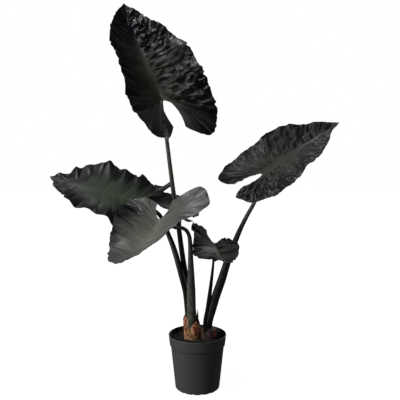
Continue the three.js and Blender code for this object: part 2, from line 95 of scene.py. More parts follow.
# Drain slots: each box is as deep, wide and high as DRAIN_SIZE and starts at the inner radius.
DRAIN_COUNT = 16
DRAIN_SIZE = (12.8, 6.5, 6)
DRAIN_INNER_RADIUS = 58

# Soil: the level and radius of its top, its gap to the pot's wall, the height of its waves, and the tones of
# its bed, its crumbs and its moss. A crumb's size in mm is drawn by its share. A place that is tried for moss
# gets a tuft only where moss grows, MOSS_TALLER times as tall as a crumb of its width.
SOIL_TOP_Z = 154.5
SOIL_RADIUS = 84.4
SOIL_ROOM = 0.9
SOIL_HEAP = 2.5
# SOIL_SHADE is painted shade for the hollows between grains.
SOIL_SHADE = "#0f0d0b"
EARTH = "#1a1613"
MOSSY_EARTH = "#3c4630"
GRAINS = 1500
GRAIN_SIZES = [0.9, 1.3, 1.9, 2.7]
GRAIN_SHARES = [0.4, 0.32, 0.2, 0.08]
GRAIN_TONES = ("#1f1a17", "#29221d", "#141110", "#352e29", "#272421", "#3d352e")
MOSS_TRIES = 1040
MOSS_TONES = ("#4a5a34", "#39482c", "#5c6a3e")
MOSS_TALLER = 1.5

# A random lattice has this many corners each way, after which it repeats.
LATTICE = 97

# Blade grid: side veins on each side, rows from one fine vein to the next and columns from midrib to margin,
# fewer on a blade shorter than SMALL_BLADE, and how much the rows crowd at the veins and the columns at the
# midrib.
MAIN_VEINS = 7
FINE_VEINS = 14
ROWS_A_VEIN = 18
BLADE_COLUMNS = 56
SMALL_BLADE = 200
SMALL_ROWS_A_VEIN = 14
SMALL_COLUMNS = 44
ROW_CROWDING = 0.11
COLUMN_CROWDING = 1.12

# Blade shape. The veins of q up to SINUS_SHARE start ahead of the stem and the others behind it. VEIN_BOW and
# SINUS_BOW are twice the bow at a vein's middle, as a share of its reach, ahead of the stem and behind it.
# Along the midrib, in lengths of the blade, the lobes' fold and curl hold as far as LOBE_SLOPE_UNTIL and the
# main part's from MAIN_SLOPE_FROM. In t, waves and swellings begin at CALM_FROM and are full at CALM_SHARE.
# In q, LOBE_RIB_SHARE is the lobe's own rib, CORNER_FROM where its inner corner starts to be cut back, by up
# to CORNER_CUT of the reach, and LOBE_END_SHARE the width of its fuller end. MARGIN_THICKNESS is in mm.
SINUS_SHARE = 0.62
VEIN_BOW = 0.1
SINUS_BOW = 0.15
LOBE_SLOPE_UNTIL = -0.25
MAIN_SLOPE_FROM = 0.15
CALM_FROM = 0.05
CALM_SHARE = 0.4
LOBE_RIB_SHARE = 0.82
CORNER_FROM = 0.86
CORNER_CUT = 0.16
LOBE_END_SHARE = 0.045
MARGIN_THICKNESS = 0.5

# Margin: its length on each side, in lengths of the blade, and the cell sizes in mm of its teeth, its bites
# and its scallops.
EDGE_LENGTHS = 1.5
TOOTH = 6
BITE = 21
SCALLOP = 13

# Crinkles: the length and width of the long facets, the short ones and the pleats, in crinkle sizes, with
# the start of each in its lattice and the number added to its seed. Pleats fade over PLEAT_FADE of q.
FACETS = ((2.8, 1, 0, 0, 0), (1.1, 0.45, 5, 0, 3), (4, 0.7, 0, 9, 6))
PLEAT_FADE = 0.07

# Blade skin: how dark the darkest mottle is beside the skin's own colour, and the colours and roughness
# that all blades share. The near-black colour of the sleek spots and the colour at the bottoms of the creases
# are painted shade.
MOTTLE_DARKEST = 0.55
PAINTED_SHADE_SKIN = "#0d0e16"
SLEEK_ROUGHNESS = 0.12
CREASE_SHADE_COLOUR = "#060607"
UNDERSIDE = "#332b2c"
UNDERSIDE_RIB = "#665a52"
UNDERSIDE_ROUGHNESS = 0.62

# Stem: its sides, the steps of its route for each station, the least number of its rings and their step in
# mm. Within STEM_SEAT_REACH mm of the blade's seat it stops STEM_SEAT_DEPTH mm below the upper face, and it
# narrows over its last STEM_NARROWS mm. The sheath fades between two levels. Its groove and lip stand at
# these angles in radians and turn back by one radian in SHEATH_TURN mm.
STEM_SIDES = 40
ROUTE_STEPS = 40
STEM_LEAST_RINGS = 60
STEM_STEP = 4
STEM_SEAT_REACH = 25
STEM_SEAT_DEPTH = 1.4
STEM_NARROWS = 5
SHEATH_FADES = (230, 330)
GROOVE_ANGLE = 4.4
LIP_ANGLE = 4.0
SHEATH_TURN = 400
STEM_SPOT = "#141412"

# Corm: the height of a cup of torn leaf bases, its rings and sides, the number of loose fibres and the lowest
# level that they start from, the radius that soil crumbs keep clear, and the colours that all sheath leaves
# share.
CUP_HEIGHT = 5.6
CORM_RINGS = 130
CORM_SIDES = 150
LOOSE_FIBRES = 90
FIBRES_FROM_Z = 158
CORM_CLEARANCE = 25
SHEATH_VEIN = "#4a2a22"
SHEATH_ROTTEN = "#431712"
SHEATH_DRY = "#d9a878"

# Patterns of the skins: the width in mm of a cell of each, and how three of them are drawn out, where a third
# number below 1 makes streaks that run up and one above 1 makes fibres that run round.
SKIN_MOTTLE = 35.7
SKIN_GRAIN = 2.38
VEINLET_NET = 5.88
STEM_MOTTLE = 16.7
STEM_STREAK = 2.38
STEM_DRAWN = (1, 1, 0.07)
CUP_CLOUD = 14.3
CUP_FIBRE = 5.26
CUP_DRAWN = (1, 1, 3)
SHEATH_BLOT = 4.76
SHEATH_LINE = 1.92
SHEATH_DRAWN = (1, 1, 0.12)
SOIL_CRUMB = 2.08
POT_CLOUD = 45.5
POT_GRAIN = 0.714

# Leaves. The values down to neck are the part's own, but for one point of the front leaf's outline, which
# stands 7 mm further out here. A pair is for the left and the right side. crinkle gives the heights in mm of
# the long facets, the short facets and the margin's pleats, and the stretch of q that the pleats fill.
# crinkle_size is the width in mm of a long facet, lobe_crinkle the share of those heights that a lobe keeps
# and creased how dark the painted shade at the bottoms of the creases is. ragged is the depth
# in mm of the margin's fine teeth, its bites and its scallops, lobe_full how far a lobe's round end swells
# out, as a share of the reach there, and full_at the q where it swells most. sinus is the half width of the
# round end of the cleft and valley the roundness in mm of the fold at the midrib. dusk is where the skin is
# sleek and painted deepest black, as painted shade, and bloom where it is dusty or stained, and
# duller, and on the right leaf painted near black as painted shade: each spot has a side (2 is both), x and y
# as shares of the length, and a width. skin, heart and vein are the colours of the blade, of its middle and
# of its veins, and dust_and_shade that of the dusty spots, near black as painted shade on the right leaf.
# vein_at is how far the veins show at the heart and in the lobes. gloss is the waxy skin's roughness and
# shine its refraction. stem_tones are the stem's colours at its foot, its middle and its top.
LEAVES = [
    dict(name="top", at=(-110, 20, 898), heading=124, rise=41, roll=-4, length=403,
         fold=(26, 27), curl=(20, 13), lobe_fold=(17, 12), lobe_curl=(5, 5),
         bend=24, lobe_bend=15, twist=-5, notch=14,
         outline=(
             [(0.89, 0.11), (0.68, 0.26), (0.41, 0.38), (0.11, 0.43), (-0.18, 0.41), (-0.41, 0.33),
              (-0.47, 0.19), (-0.37, 0.04)],
             [(0.89, 0.12), (0.67, 0.27), (0.4, 0.38), (0.12, 0.39), (-0.14, 0.38), (-0.33, 0.32),
              (-0.43, 0.23), (-0.35, 0.07)]),
         wave=5, waves=7, phase=(0.2, 0.6), puff=3.2,
         stem=[(-19, 16, 165, 8), (-20, 18, 200, 8), (-22, 19, 224, 8.2), (-28, 18, 279, 8.6),
               (-36, 19, 343, 8.6), (-49, 12, 432, 8.2), (-57, 8, 497, 7.5), (-70, 10, 586, 7.1),
               (-82, 15, 678, 6.6), (-94, 21, 773, 6)],
         neck=[(-14, -14, 5), (-3, 4, 5)],
         crinkle=((1.6, 1.2, 7.0, 0.02, 0.72), (6.0, 6.6, 2.0, 0.03, 0.9)), crinkle_size=14.5,
         creased=1.0, lobe_crinkle=0.06, ragged=((1.0, 4, 4.0), (1.2, 6, 1.5)),
         lobe_full=(0.02, 0.09), full_at=(0.93, 0.97), sinus=(13, 15), valley=30,
         # The top leaf's sleek spot near its tip is painted near black, as painted shade.
         dusk=[(2, 0.77, 0.02, 0.1)], bloom=[(0, -0.28, 0.2, 0.2)], dust_and_shade="#1a1b1b", skin="#08090b",
         heart="#24231a", vein="#6a6c6a", vein_at=((0, 0.45), (0.05, 0.6)), gloss=0.24, shine=1.3,
         stem_tones=("#1c1c19", "#1c1c18", "#6a5f56")),
    dict(name="right", at=(204, -20, 674.5), heading=10, rise=32, roll=34.5, length=274,
         fold=(16, 7), curl=(12, 6), lobe_fold=(11, 8), lobe_curl=(1, -3),
         bend=0, lobe_bend=-17, twist=-2, notch=13,
         outline=(
             [(0.9, 0.11), (0.67, 0.26), (0.42, 0.39), (0.13, 0.37), (-0.14, 0.36), (-0.35, 0.31),
              (-0.48, 0.21), (-0.42, 0.05)],
             [(0.86, 0.06), (0.65, 0.23), (0.37, 0.33), (0.1, 0.43), (-0.16, 0.42), (-0.38, 0.33),
              (-0.46, 0.16), (-0.34, 0.03)]),
         wave=3, waves=7, phase=(0.1, 0.5), puff=2.4,
         stem=[(33, 0, 165, 12), (35, 1, 205, 12.4), (45, 3, 244, 13.2), (54, 5, 275, 13.5),
               (64, 8, 306, 13.5), (75, 10, 337, 13.2), (91, 13, 387, 11.8), (106, 15, 430, 10.2),
               (121, 16, 468, 8.4), (137, 13, 506, 7.1), (155, 8, 543, 6.4), (175, 2, 582, 5.9)],
         neck=[(-14, -14, 5), (-3, 4, 5)],
         crinkle=((4.6, 3.4, 2.0, 0.03, 0.9), (4.4, 3.4, 2.0, 0.03, 0.9)), crinkle_size=12.5,
         creased=0.85, lobe_crinkle=0.8, ragged=((0.5, 0, 0.8), (0.6, 1, 2.4)),
         lobe_full=(0.06, 0.0), full_at=(0.93, 0.93), sinus=(4, 4), valley=20,
         # The right leaf's dusty spots are painted near black, as painted shade.
         dusk=[], bloom=[(0, 0.42, 0.26, 0.16), (0, 0.85, 0.08, 0.14)], dust_and_shade="#050506", skin="#141517",
         heart="#2d2d26", vein="#4c4d4a", vein_at=((0.0, 0.3), (0.0, 0.3)), gloss=0.33, shine=1.35,
         stem_tones=("#292a25", "#2f302b", "#7a746a")),
    dict(name="left", at=(-221, 70, 583), heading=170, rise=15, roll=-43, length=271,
         fold=(11, 10), curl=(9, 8), lobe_fold=(-7, 2), lobe_curl=(-6, 0),
         bend=-1, lobe_bend=-48, twist=-4, notch=15,
         outline=(
             [(0.88, 0.11), (0.66, 0.27), (0.4, 0.36), (0.11, 0.41), (-0.14, 0.42), (-0.32, 0.33),
              (-0.41, 0.2), (-0.36, 0.08)],
             [(0.88, 0.1), (0.65, 0.26), (0.39, 0.39), (0.13, 0.36), (-0.09, 0.37), (-0.31, 0.27),
              (-0.53, 0.27), (-0.45, 0.12)]),
         wave=7, waves=8, phase=(0.1, 0.4), puff=3,
         stem=[(-31, 4, 165, 7.2), (-31, 4, 200, 7.4), (-31, 3, 224, 7.6), (-34, 0, 270, 8),
               (-38, 0, 305, 8.3), (-45, -2, 337, 8.6), (-53, 0, 367, 8.9), (-71, 17, 428, 8.7),
               (-91, 32, 477, 7.5), (-119, 44, 536, 6.4)],
         neck=[(-60, -8, 5.6), (-19, -11, 5.2), (-3, 4, 5)],
         crinkle=((0.8, 0.5, 12.0, 0.05, 0.9), (0.8, 0.5, 11.0, 0.08, 0.85)), crinkle_size=27,
         creased=0.8, lobe_crinkle=0.5, ragged=((1.0, 2, 9.0), (1.0, 2, 6.0)),
         lobe_full=(0.0, 0.0), full_at=(0.93, 0.93), sinus=(4, 4), valley=12,
         dusk=[], bloom=[], dust_and_shade="#3c3d3c", skin="#151716",
         heart="#293425", vein="#66725f", vein_at=((0.3, 0), (0.3, 0)), gloss=0.36, shine=1.35,
         stem_tones=("#171715", "#0e0f0d", "#171816")),
    dict(name="front", at=(-115, -120, 532), heading=241, rise=-41, roll=-20, length=268,
         fold=(33, 17), curl=(17, 10), lobe_fold=(21, -5), lobe_curl=(-9, -3),
         bend=51, lobe_bend=0, twist=15, notch=16,
         outline=(
             [(0.86, 0.09), (0.63, 0.19), (0.39, 0.31), (0.14, 0.37), (-0.12, 0.365), (-0.39, 0.46),
              (-0.6, 0.28), (-0.37, 0.04)],
             [(0.88, 0.13), (0.64, 0.24), (0.39, 0.35), (0.15, 0.41), (-0.06, 0.43), (-0.19, 0.41),
              (-0.28, 0.27), (-0.28, 0.12)]),
         wave=3.5, waves=7, phase=(0.3, 0.1), puff=2,
         stem=[(-17, -10, 165, 12), (-19, -14, 210, 13.3), (-18, -18, 249, 13.9), (-19, -27, 315, 13.2),
               (-19, -36, 363, 10.4), (-20, -44, 411, 8.4), (-21, -52, 458, 6.7), (-24, -59, 486, 6.1),
               (-32, -66, 503, 5.8), (-45, -74, 512, 5.6), (-62, -84, 514, 5.3)],
         neck=[(-22, -18, 5), (-2, 4, 5)],
         crinkle=((1.6, 0.8, 1.6, 0.3, 0.95), (1.0, 0.5, 13.0, 0.2, 0.8)), crinkle_size=15,
         creased=0.4, lobe_crinkle=1, ragged=((0.6, 1, 0.6), (1.2, 6, 3.0)),
         lobe_full=(0.1, 0.0), full_at=(0.93, 0.93), sinus=(5, 5), valley=14,
         # The front leaf's sleek spots paint one side near its margin near black, as painted shade.
         dusk=[(1, -0.02, 0.36, 0.12), (1, 0.18, 0.4, 0.08), (1, 0.38, 0.36, 0.06)], bloom=[],
         dust_and_shade="#3c3d3c", skin="#5a5b59",
         heart="#64655a", vein="#a4a69e", vein_at=((0.2, 0.25), (0.3, 0.25)), gloss=0.34, shine=1.42,
         stem_tones=("#55563f", "#686a64", "#66685c")),
    dict(name="small", at=(51, -100, 466), heading=-83, rise=-19, roll=-15, length=190,
         fold=(18, 2), curl=(8, -7), lobe_fold=(-2, 12), lobe_curl=(5, -6),
         bend=30, lobe_bend=0, twist=10, notch=12,
         outline=(
             [(0.87, 0.08), (0.64, 0.21), (0.38, 0.3), (0.1, 0.35), (-0.16, 0.39), (-0.34, 0.35),
              (-0.38, 0.24), (-0.28, 0.15)],
             [(0.86, 0.08), (0.64, 0.23), (0.42, 0.37), (0.14, 0.36), (-0.15, 0.35), (-0.36, 0.36),
              (-0.49, 0.24), (-0.46, 0.1)]),
         wave=3.5, waves=6, phase=(0.4, 0.7), puff=2,
         stem=[(26, -18, 165, 5), (23, -22, 195, 5.7), (24, -28, 221, 5.9), (30, -36, 255, 6.1),
               (36, -48, 299, 6.2), (42, -66, 355, 5), (47, -82, 413, 3.4)],
         neck=[(-9, -12, 2.6), (-3, 4, 2.6)],
         crinkle=((6.5, 1.4, 7.0, 0.05, 0.95), (5.0, 1.2, 9.0, 0.05, 0.95)), crinkle_size=14,
         creased=1.0, lobe_crinkle=1, ragged=((1.0, 2, 2.0), (1.0, 2, 2.0)),
         lobe_full=(0.0, 0.0), full_at=(0.93, 0.93), sinus=(3, 3), valley=7,
         dusk=[], bloom=[(1, -0.25, 0.2, 0.3), (1, 0.15, 0.1, 0.2)], dust_and_shade="#70726e", skin="#17181a",
         heart="#3a3a35", vein="#5c5e5a", vein_at=((0.3, 0.2), (0.3, 0.2)), gloss=0.62, shine=1.32,
         stem_tones=("#1e1e1b", "#1a1a18", "#1e1f1d")),
    dict(name="rear", at=(-62, 82, 536), heading=165, rise=24, roll=-26, length=140,
         fold=(35, 35), curl=(5, 5), lobe_fold=(25, 25), lobe_curl=(0, 0),
         bend=0, lobe_bend=-10, twist=0, notch=11,
         outline=(
             [(0.88, 0.1), (0.66, 0.25), (0.4, 0.36), (0.12, 0.41), (-0.14, 0.39), (-0.34, 0.31),
              (-0.45, 0.18), (-0.41, 0.07)],
             [(0.88, 0.1), (0.66, 0.25), (0.4, 0.36), (0.12, 0.41), (-0.14, 0.39), (-0.34, 0.31),
              (-0.45, 0.18), (-0.41, 0.07)]),
         wave=2.5, waves=6, phase=(0.2, 0.5), puff=1.6,
         stem=[(-5, 14, 165, 4.5), (-5, 18, 200, 4.6), (-11, 27, 250, 4.8), (-20, 32, 300, 5),
               (-34, 38, 343, 5), (-48, 44, 426, 5), (-56, 54, 480, 4.6), (-55, 67, 513, 4)],
         neck=[(-8, -9, 3.6), (-2, 3, 3.6)],
         crinkle=((2.0, 0.8, 1.6, 0.1, 0.9), (2.0, 0.8, 1.6, 0.1, 0.9)), crinkle_size=13,
         creased=0.6, lobe_crinkle=0.8, ragged=((1.0, 2, 0.8), (1.0, 2, 0.8)),
         lobe_full=(0.0, 0.0), full_at=(0.93, 0.93), sinus=(3, 3), valley=6,
         dusk=[], bloom=[], dust_and_shade="#50514f", skin="#505153",
         heart="#50504c", vein="#7a7b7a", vein_at=((0.5, 0.2), (0.5, 0.2)), gloss=0.34, shine=1.42,
         stem_tones=("#2a2a26", "#232321", "#2a2b29")),
]

# Corms. profile is height and radius, as in the solids. tones are dark fibre, main fibre and pale fibre; the
# dark one is also painted as shade at the bottom of each cup, and the pale one as highlight in pale patches.
# A scale has a foot, a tip, the way it faces in degrees, a half width and the colours of its middle and edge.
# One with blunt above 1 stays wide nearer to its tip.
CORMS = [
    dict(name="corm_left", slot="pale_corm", centre=(-16, 1), seed=11,
         profile=[(128, 12), (134, 18.5), (142, 22.5), (148, 25), (152, 23.6), (156, 25.2), (160, 23.6),
                  (165, 25.2), (169, 24), (174, 25.6), (179, 24.6), (184, 25.8), (190, 25.4), (196, 23.5),
                  (199, 18)],
         tones=("#35150e", "#a0663f", "#e6bb80"),
         scales=[
             dict(foot=(-33, -17, 178), tip=(-38.5, -20, 236), facing=245, half=9.2, blunt=1.9,
                  middle="#96492c", edge="#e8b58a"),
             dict(foot=(-6, -23, 172), tip=(-4, -26, 217), facing=285, half=14, blunt=1.2,
                  middle="#a05032", edge="#e2a77c"),
             dict(foot=(5, -10, 176), tip=(2, -8, 222), facing=290, half=5.4,
                  middle="#171012", edge="#3a1d22"),
             dict(foot=(-1, 2, 186), tip=(0.5, -1, 250), facing=285, half=3.4,
                  middle="#14100e", edge="#1b1512"),
             dict(foot=(-12, 24, 182), tip=(-8, 31, 222), facing=85, half=10,
                  middle="#7d4c38", edge="#b98568"),
             dict(foot=(-30, 18, 176), tip=(-33, 25, 208), facing=130, half=8,
                  middle="#8a543e", edge="#c59072")]),
    dict(name="corm_right", slot="dark_corm", centre=(36, -4), seed=12,
         profile=[(130, 12), (136, 18), (144, 22.6), (150, 24.8), (154, 23.6), (158, 25), (162, 23.6),
                  (166, 24.8), (170, 23.8), (174, 24.6), (179, 23.6), (184, 22), (187, 17)],
         tones=("#080505", "#180e0d", "#5c413e"),
         scales=[
             dict(foot=(52, -17, 154), tip=(54, -20, 190), facing=315, half=6.5,
                  middle="#8e0a1e", edge="#b84a58"),
             dict(foot=(20, -19, 156), tip=(16, -17, 198), facing=250, half=6,
                  middle="#2e1716", edge="#6a4743"),
             dict(foot=(36, 17, 166), tip=(37, 22, 200), facing=80, half=9,
                  middle="#553532", edge="#8a6660")]),
]


# Numbers and small shapes.

def smooth(x, low, high):
    """0 below low, 1 above high, and a smooth cubic step between them."""
    share = np.clip((x - low) / (high - low), 0, 1)
    return share * share * (3 - 2 * share)


def mix(a, b, share):
    """a where the share is 0, b where it is 1, and a straight line between them."""
    return a + (b - a) * share


def hump(distance, width):
    """A bell, e to the power of minus the squared share of the width: about a third at one width."""
    return np.exp(-(distance / width) ** 2)


def lattice_cell(x, y, seed):
    """Where each point lies in its lattice cell, and the random heights of that cell's four corners."""
    lattice = np.random.default_rng(seed).uniform(-1, 1, (LATTICE, LATTICE))
    column, row = np.floor(x).astype(int), np.floor(y).astype(int)
    corner = {(i, j): lattice[(column + i) % LATTICE, (row + j) % LATTICE] for i in (0, 1) for j in (0, 1)}
    return x - column, y - row, corner


def noise(x, y, seed):
    """A smooth random height from -1 to 1: corner heights blended by cubic steps, on cells one unit wide."""
    u, v, corner = lattice_cell(x, y, seed)
    across, up = smooth(u, 0, 1), smooth(v, 0, 1)
    return mix(mix(corner[0, 0], corner[1, 0], across), mix(corner[0, 1], corner[1, 1], across), up)


def ridges(x, y, seed):
    """Sharp crests from 0 to 1 with round valleys: one less the size of a noise, squared."""
    return (1 - np.abs(noise(x, y, seed))) ** 2


def crumple(x, y, seed):
    """Crumpled skin, from -1 to 1: flat triangles that meet in sharp creases, on cells one unit wide.

    Each corner of a lattice has a random height and each cell is two flat triangles. The lattice itself is
    bent by a smooth noise, so that the creases wander.
    """
    wander = 0.35
    x, y = x + wander * noise(x, y, seed + 1), y + wander * noise(x, y, seed + 2)
    u, v, corner = lattice_cell(x, y, seed)
    near = corner[0, 0] + u * (corner[1, 0] - corner[0, 0]) + v * (corner[0, 1] - corner[0, 0])
    far = (corner[1, 1] + (1 - u) * (corner[0, 1] - corner[1, 1])
           + (1 - v) * (corner[1, 0] - corner[1, 1]))
    return np.where(u + v < 1, near, far)


def unit(vectors):
    """Vectors of length one in the same directions."""
    return vectors / np.maximum(np.linalg.norm(vectors, axis=-1, keepdims=True), 1e-9)


def through(points, share):
    """A centripetal Catmull-Rom curve at a share of its control points.

    Between two points it is a cubic. Its end slopes come from the neighbours on both sides, each
    distance counted as its square root. Past the ends the first and last steps are repeated.
    """
    points = np.asarray(points, float)
    spans = len(points) - 1
    padded = np.vstack([2 * points[0] - points[1], points, 2 * points[-1] - points[-2]])
    place = np.clip(share, 0, 1) * spans
    span = np.minimum(np.floor(place).astype(int), spans - 1)
    w = (place - span)[..., None]
    p0, p1, p2, p3 = (padded[span + n] for n in range(4))
    d0, d1, d2 = (np.sqrt(np.linalg.norm(b - a, axis=-1, keepdims=True))
                  for a, b in ((p0, p1), (p1, p2), (p2, p3)))
    slope1 = ((p1 - p0) / d0 - (p2 - p0) / (d0 + d1) + (p2 - p1) / d1) * d1
    slope2 = ((p2 - p1) / d1 - (p3 - p1) / (d1 + d2) + (p3 - p2) / d2) * d1
    return (p1 * (2 * w ** 3 - 3 * w ** 2 + 1) + slope1 * (w ** 3 - 2 * w ** 2 + w)
            + p2 * (3 * w ** 2 - 2 * w ** 3) + slope2 * (w ** 3 - w ** 2))


# Meshes.

def quads_of(ids):
    """Quads of a grid of vertex numbers, counterclockwise where rows run back and columns to the right."""
    return np.stack([ids[:-1, :-1], ids[1:, :-1], ids[1:, 1:], ids[:-1, 1:]], -1).reshape(-1, 4)


def closed_sheet(top, under):
    """Points and quads of one closed skin: an upper and a lower grid, joined all round their rim."""
    rows, columns = top.shape[:2]
    ids = np.arange(rows * columns).reshape(rows, columns)
    rim = np.concatenate([ids[:, 0], ids[-1, 1:], ids[-2::-1, -1], ids[0, -2:0:-1]])
    after = np.roll(rim, -1)
    count = rows * columns
    faces = [quads_of(ids), quads_of(ids)[:, ::-1] + count,
             np.stack([after, rim, rim + count, after + count], -1)]
    return np.concatenate([top.reshape(-1, 3), under.reshape(-1, 3)]), np.concatenate(faces)


def closed_tube(rings):
    """Points and quads of a skin over rings, shut by a point at each end.

    The rings run counterclockwise, seen from the last one.
    """
    first = np.repeat(rings[:1].mean(1, keepdims=True), rings.shape[1], 1)
    last = np.repeat(rings[-1:].mean(1, keepdims=True), rings.shape[1], 1)
    rings = np.concatenate([first, rings, last])
    ids = np.arange(rings.shape[0] * rings.shape[1]).reshape(rings.shape[:2])
    return rings.reshape(-1, 3), quads_of(np.hstack([ids, ids[:, :1]]))[:, ::-1]


def round_path(path, side, other, radius, angle):
    """Rings round a path: each point steps out by its radius, turned by its angle from side to other."""
    return (path[:, None] + side[:, None] * (radius * np.cos(angle))[..., None]
            + other[:, None] * (radius * np.sin(angle))[..., None])


def gather(skins):
    """Several skins of points and quads as one."""
    starts = np.cumsum([0] + [len(points) for points, _ in skins[:-1]])
    return (np.concatenate([points for points, _ in skins]),
            np.concatenate([quads + start for (_, quads), start in zip(skins, starts)]))


def new_object(name, data):
    """A new object of the scene, at the origin."""
    made = bpy.data.objects.new(name, data)
    bpy.context.scene.collection.objects.link(made)
    return made


def make_piece(name, skin, material, slot, replaces=None, sharp_deg=55, **attributes):
    """A mesh object from a skin in mm, with its poles merged, riding on the plant.

    Each attribute is one number or one colour for every point.
    """
    points, quads = skin
    mesh = bpy.data.meshes.new(name)
    mesh.vertices.add(len(points))
    mesh.vertices.foreach_set("co", (points * MM).astype(np.float32).ravel())
    mesh.loops.add(quads.size)
    mesh.loops.foreach_set("vertex_index", quads.astype(np.int32).ravel())
    mesh.polygons.add(len(quads))
    mesh.polygons.foreach_set("loop_start", np.arange(0, quads.size, 4, dtype=np.int32))
    mesh.update(calc_edges=True)
    for key, values in attributes.items():
        values = np.asarray(values, np.float32)
        is_colour = values.ndim == 2
        layer = mesh.attributes.new(key, "FLOAT_COLOR" if is_colour else "FLOAT", "POINT")
        layer.data.foreach_set("color" if is_colour else "value", values.ravel())
    work = bmesh.new()
    work.from_mesh(mesh)
    bmesh.ops.remove_doubles(work, verts=work.verts, dist=1e-7)
    work.to_mesh(mesh)
    work.free()
    mesh.shade_smooth()
    mesh.set_sharp_from_angle(angle=math.radians(sharp_deg))
    mesh.materials.append(material)
    piece = new_object(name, mesh)
    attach(piece, BODY)
    if replaces:
        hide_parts(replaces)
    return piece


# Materials.

def linear(code):
    """An sRGB hex colour as linear light, with full alpha."""
    channels = [int(code[n:n + 2], 16) / 255 for n in (1, 3, 5)]
    return tuple(c / 12.92 if c <= 0.04045 else ((c + 0.055) / 1.055) ** 2.4 for c in channels) + (1,)


def add(tree, kind, inputs=None, **settings):
    """One node with its settings and inputs: each input is a value or the socket that feeds it."""
    node = tree.nodes.new(kind)
    for key, value in settings.items():
        setattr(node, key, value)
    for key, value in (inputs or {}).items():
        if isinstance(value, bpy.types.NodeSocket):
            tree.links.new(value, node.inputs[key])
        else:
            node.inputs[key].default_value = value
    return node


def per_cell(size):
    """The scale of a pattern whose cells are this many mm wide, on coordinates in metres."""
    return 1 / (size * MM)


def new_material(name):
    """A material with its node tree, its shader and its Object coordinates."""
    material = bpy.data.materials.new(name)
    material.use_nodes = True
    tree = material.node_tree
    shader = tree.nodes["Principled BSDF"]
    place = add(tree, "ShaderNodeTexCoord").outputs["Object"]
    return material, tree, shader, place


def waxy_leaf(leaf):
    """Living leaf skin, grown with a waxy coat, near black or slate grey: dull where it is dusty, with broad
    satin glints.

    The olive heart, the paler veins, the brown-purple underside with its paler ribs, the painted shade in the
    creases and on the sleek spots, and the dusty spots, painted near black as shade on the right leaf, follow
    the blade's own attributes. A net of veinlets and a fine grain come from the bump.
    """
    material, tree, shader, place = new_material(f"waxy_leaf_{leaf['name']}")
    share = {key: add(tree, "ShaderNodeAttribute", attribute_name=key).outputs["Fac"]
             for key in ("heart", "vein", "dusk", "bloom", "crease", "under")}
    mottle = add(tree, "ShaderNodeTexNoise", {"Vector": place, "Scale": per_cell(SKIN_MOTTLE), "Detail": 4,
                                              "Roughness": 0.6}).outputs["Fac"]
    fine = add(tree, "ShaderNodeTexNoise", {"Vector": place, "Scale": per_cell(SKIN_GRAIN), "Detail": 3,
                                            "Roughness": 0.6})
    net = add(tree, "ShaderNodeTexVoronoi", {"Vector": place, "Scale": per_cell(VEINLET_NET)},
              feature="DISTANCE_TO_EDGE")
    veinlet = add(tree, "ShaderNodeMapRange", {"Value": net.outputs["Distance"], "From Max": 0.12,
                                               "To Min": 1, "To Max": 0})
    shade = add(tree, "ShaderNodeMapRange", {"Value": mottle, "From Min": 0.3, "From Max": 0.7})
    # Painted shade: the bottoms of the creases are darkened, as strongly as each leaf says.
    shadow = add(tree, "ShaderNodeMath", {0: share["crease"], 1: leaf["creased"]},
                 operation="MULTIPLY").outputs["Value"]
    above = [channel * MOTTLE_DARKEST for channel in linear(leaf["skin"])[:3]] + [1]
    # The sleek spots are painted near black and the creases dark, as painted shade; the right leaf's dusty
    # spots are painted near black, as painted shade too.
    for cover, code in ((shade.outputs["Result"], leaf["skin"]), (share["heart"], leaf["heart"]),
                        (share["bloom"], leaf["dust_and_shade"]), (share["dusk"], PAINTED_SHADE_SKIN), (shadow, CREASE_SHADE_COLOUR),
                        (share["vein"], leaf["vein"])):
        above = add(tree, "ShaderNodeMix", {"Factor": cover, "A": above, "B": linear(code)},
                    data_type="RGBA").outputs["Result"]
    below = add(tree, "ShaderNodeMix", {"Factor": share["vein"], "A": linear(UNDERSIDE),
                                        "B": linear(UNDERSIDE_RIB)}, data_type="RGBA")
    both = add(tree, "ShaderNodeMix", {"Factor": share["under"], "A": above, "B": below.outputs["Result"]},
               data_type="RGBA")
    tree.links.new(both.outputs["Result"], shader.inputs["Base Color"])
    rough = add(tree, "ShaderNodeMapRange", {"Value": mottle, "From Min": 0.3, "From Max": 0.7,
                                             "To Min": leaf["gloss"] - 0.06,
                                             "To Max": leaf["gloss"] + 0.1}).outputs["Result"]
    for cover, more in ((share["heart"], 0.35), (shadow, 0.08), (share["bloom"], 0.25)):
        rough = add(tree, "ShaderNodeMath", {0: cover, 1: more, 2: rough},
                    operation="MULTIPLY_ADD").outputs["Value"]
    for cover, level in ((share["dusk"], SLEEK_ROUGHNESS), (share["under"], UNDERSIDE_ROUGHNESS)):
        rough = add(tree, "ShaderNodeMix", {"Factor": cover, "A": rough, "B": level},
                    data_type="FLOAT").outputs["Result"]
    tree.links.new(rough, shader.inputs["Roughness"])
    half_net = add(tree, "ShaderNodeMath", {0: veinlet.outputs["Result"], 1: 0.5}, operation="MULTIPLY")
    grain = add(tree, "ShaderNodeMath", {0: fine.outputs["Fac"], 1: half_net.outputs["Value"]},
                operation="SUBTRACT")
    bump = add(tree, "ShaderNodeBump", {"Height": grain.outputs["Value"], "Strength": 0.07,
                                        "Distance": 0.6 * MM})
    tree.links.new(bump.outputs["Normal"], shader.inputs["Normal"])
    shader.inputs["IOR"].default_value = leaf["shine"]
    return material


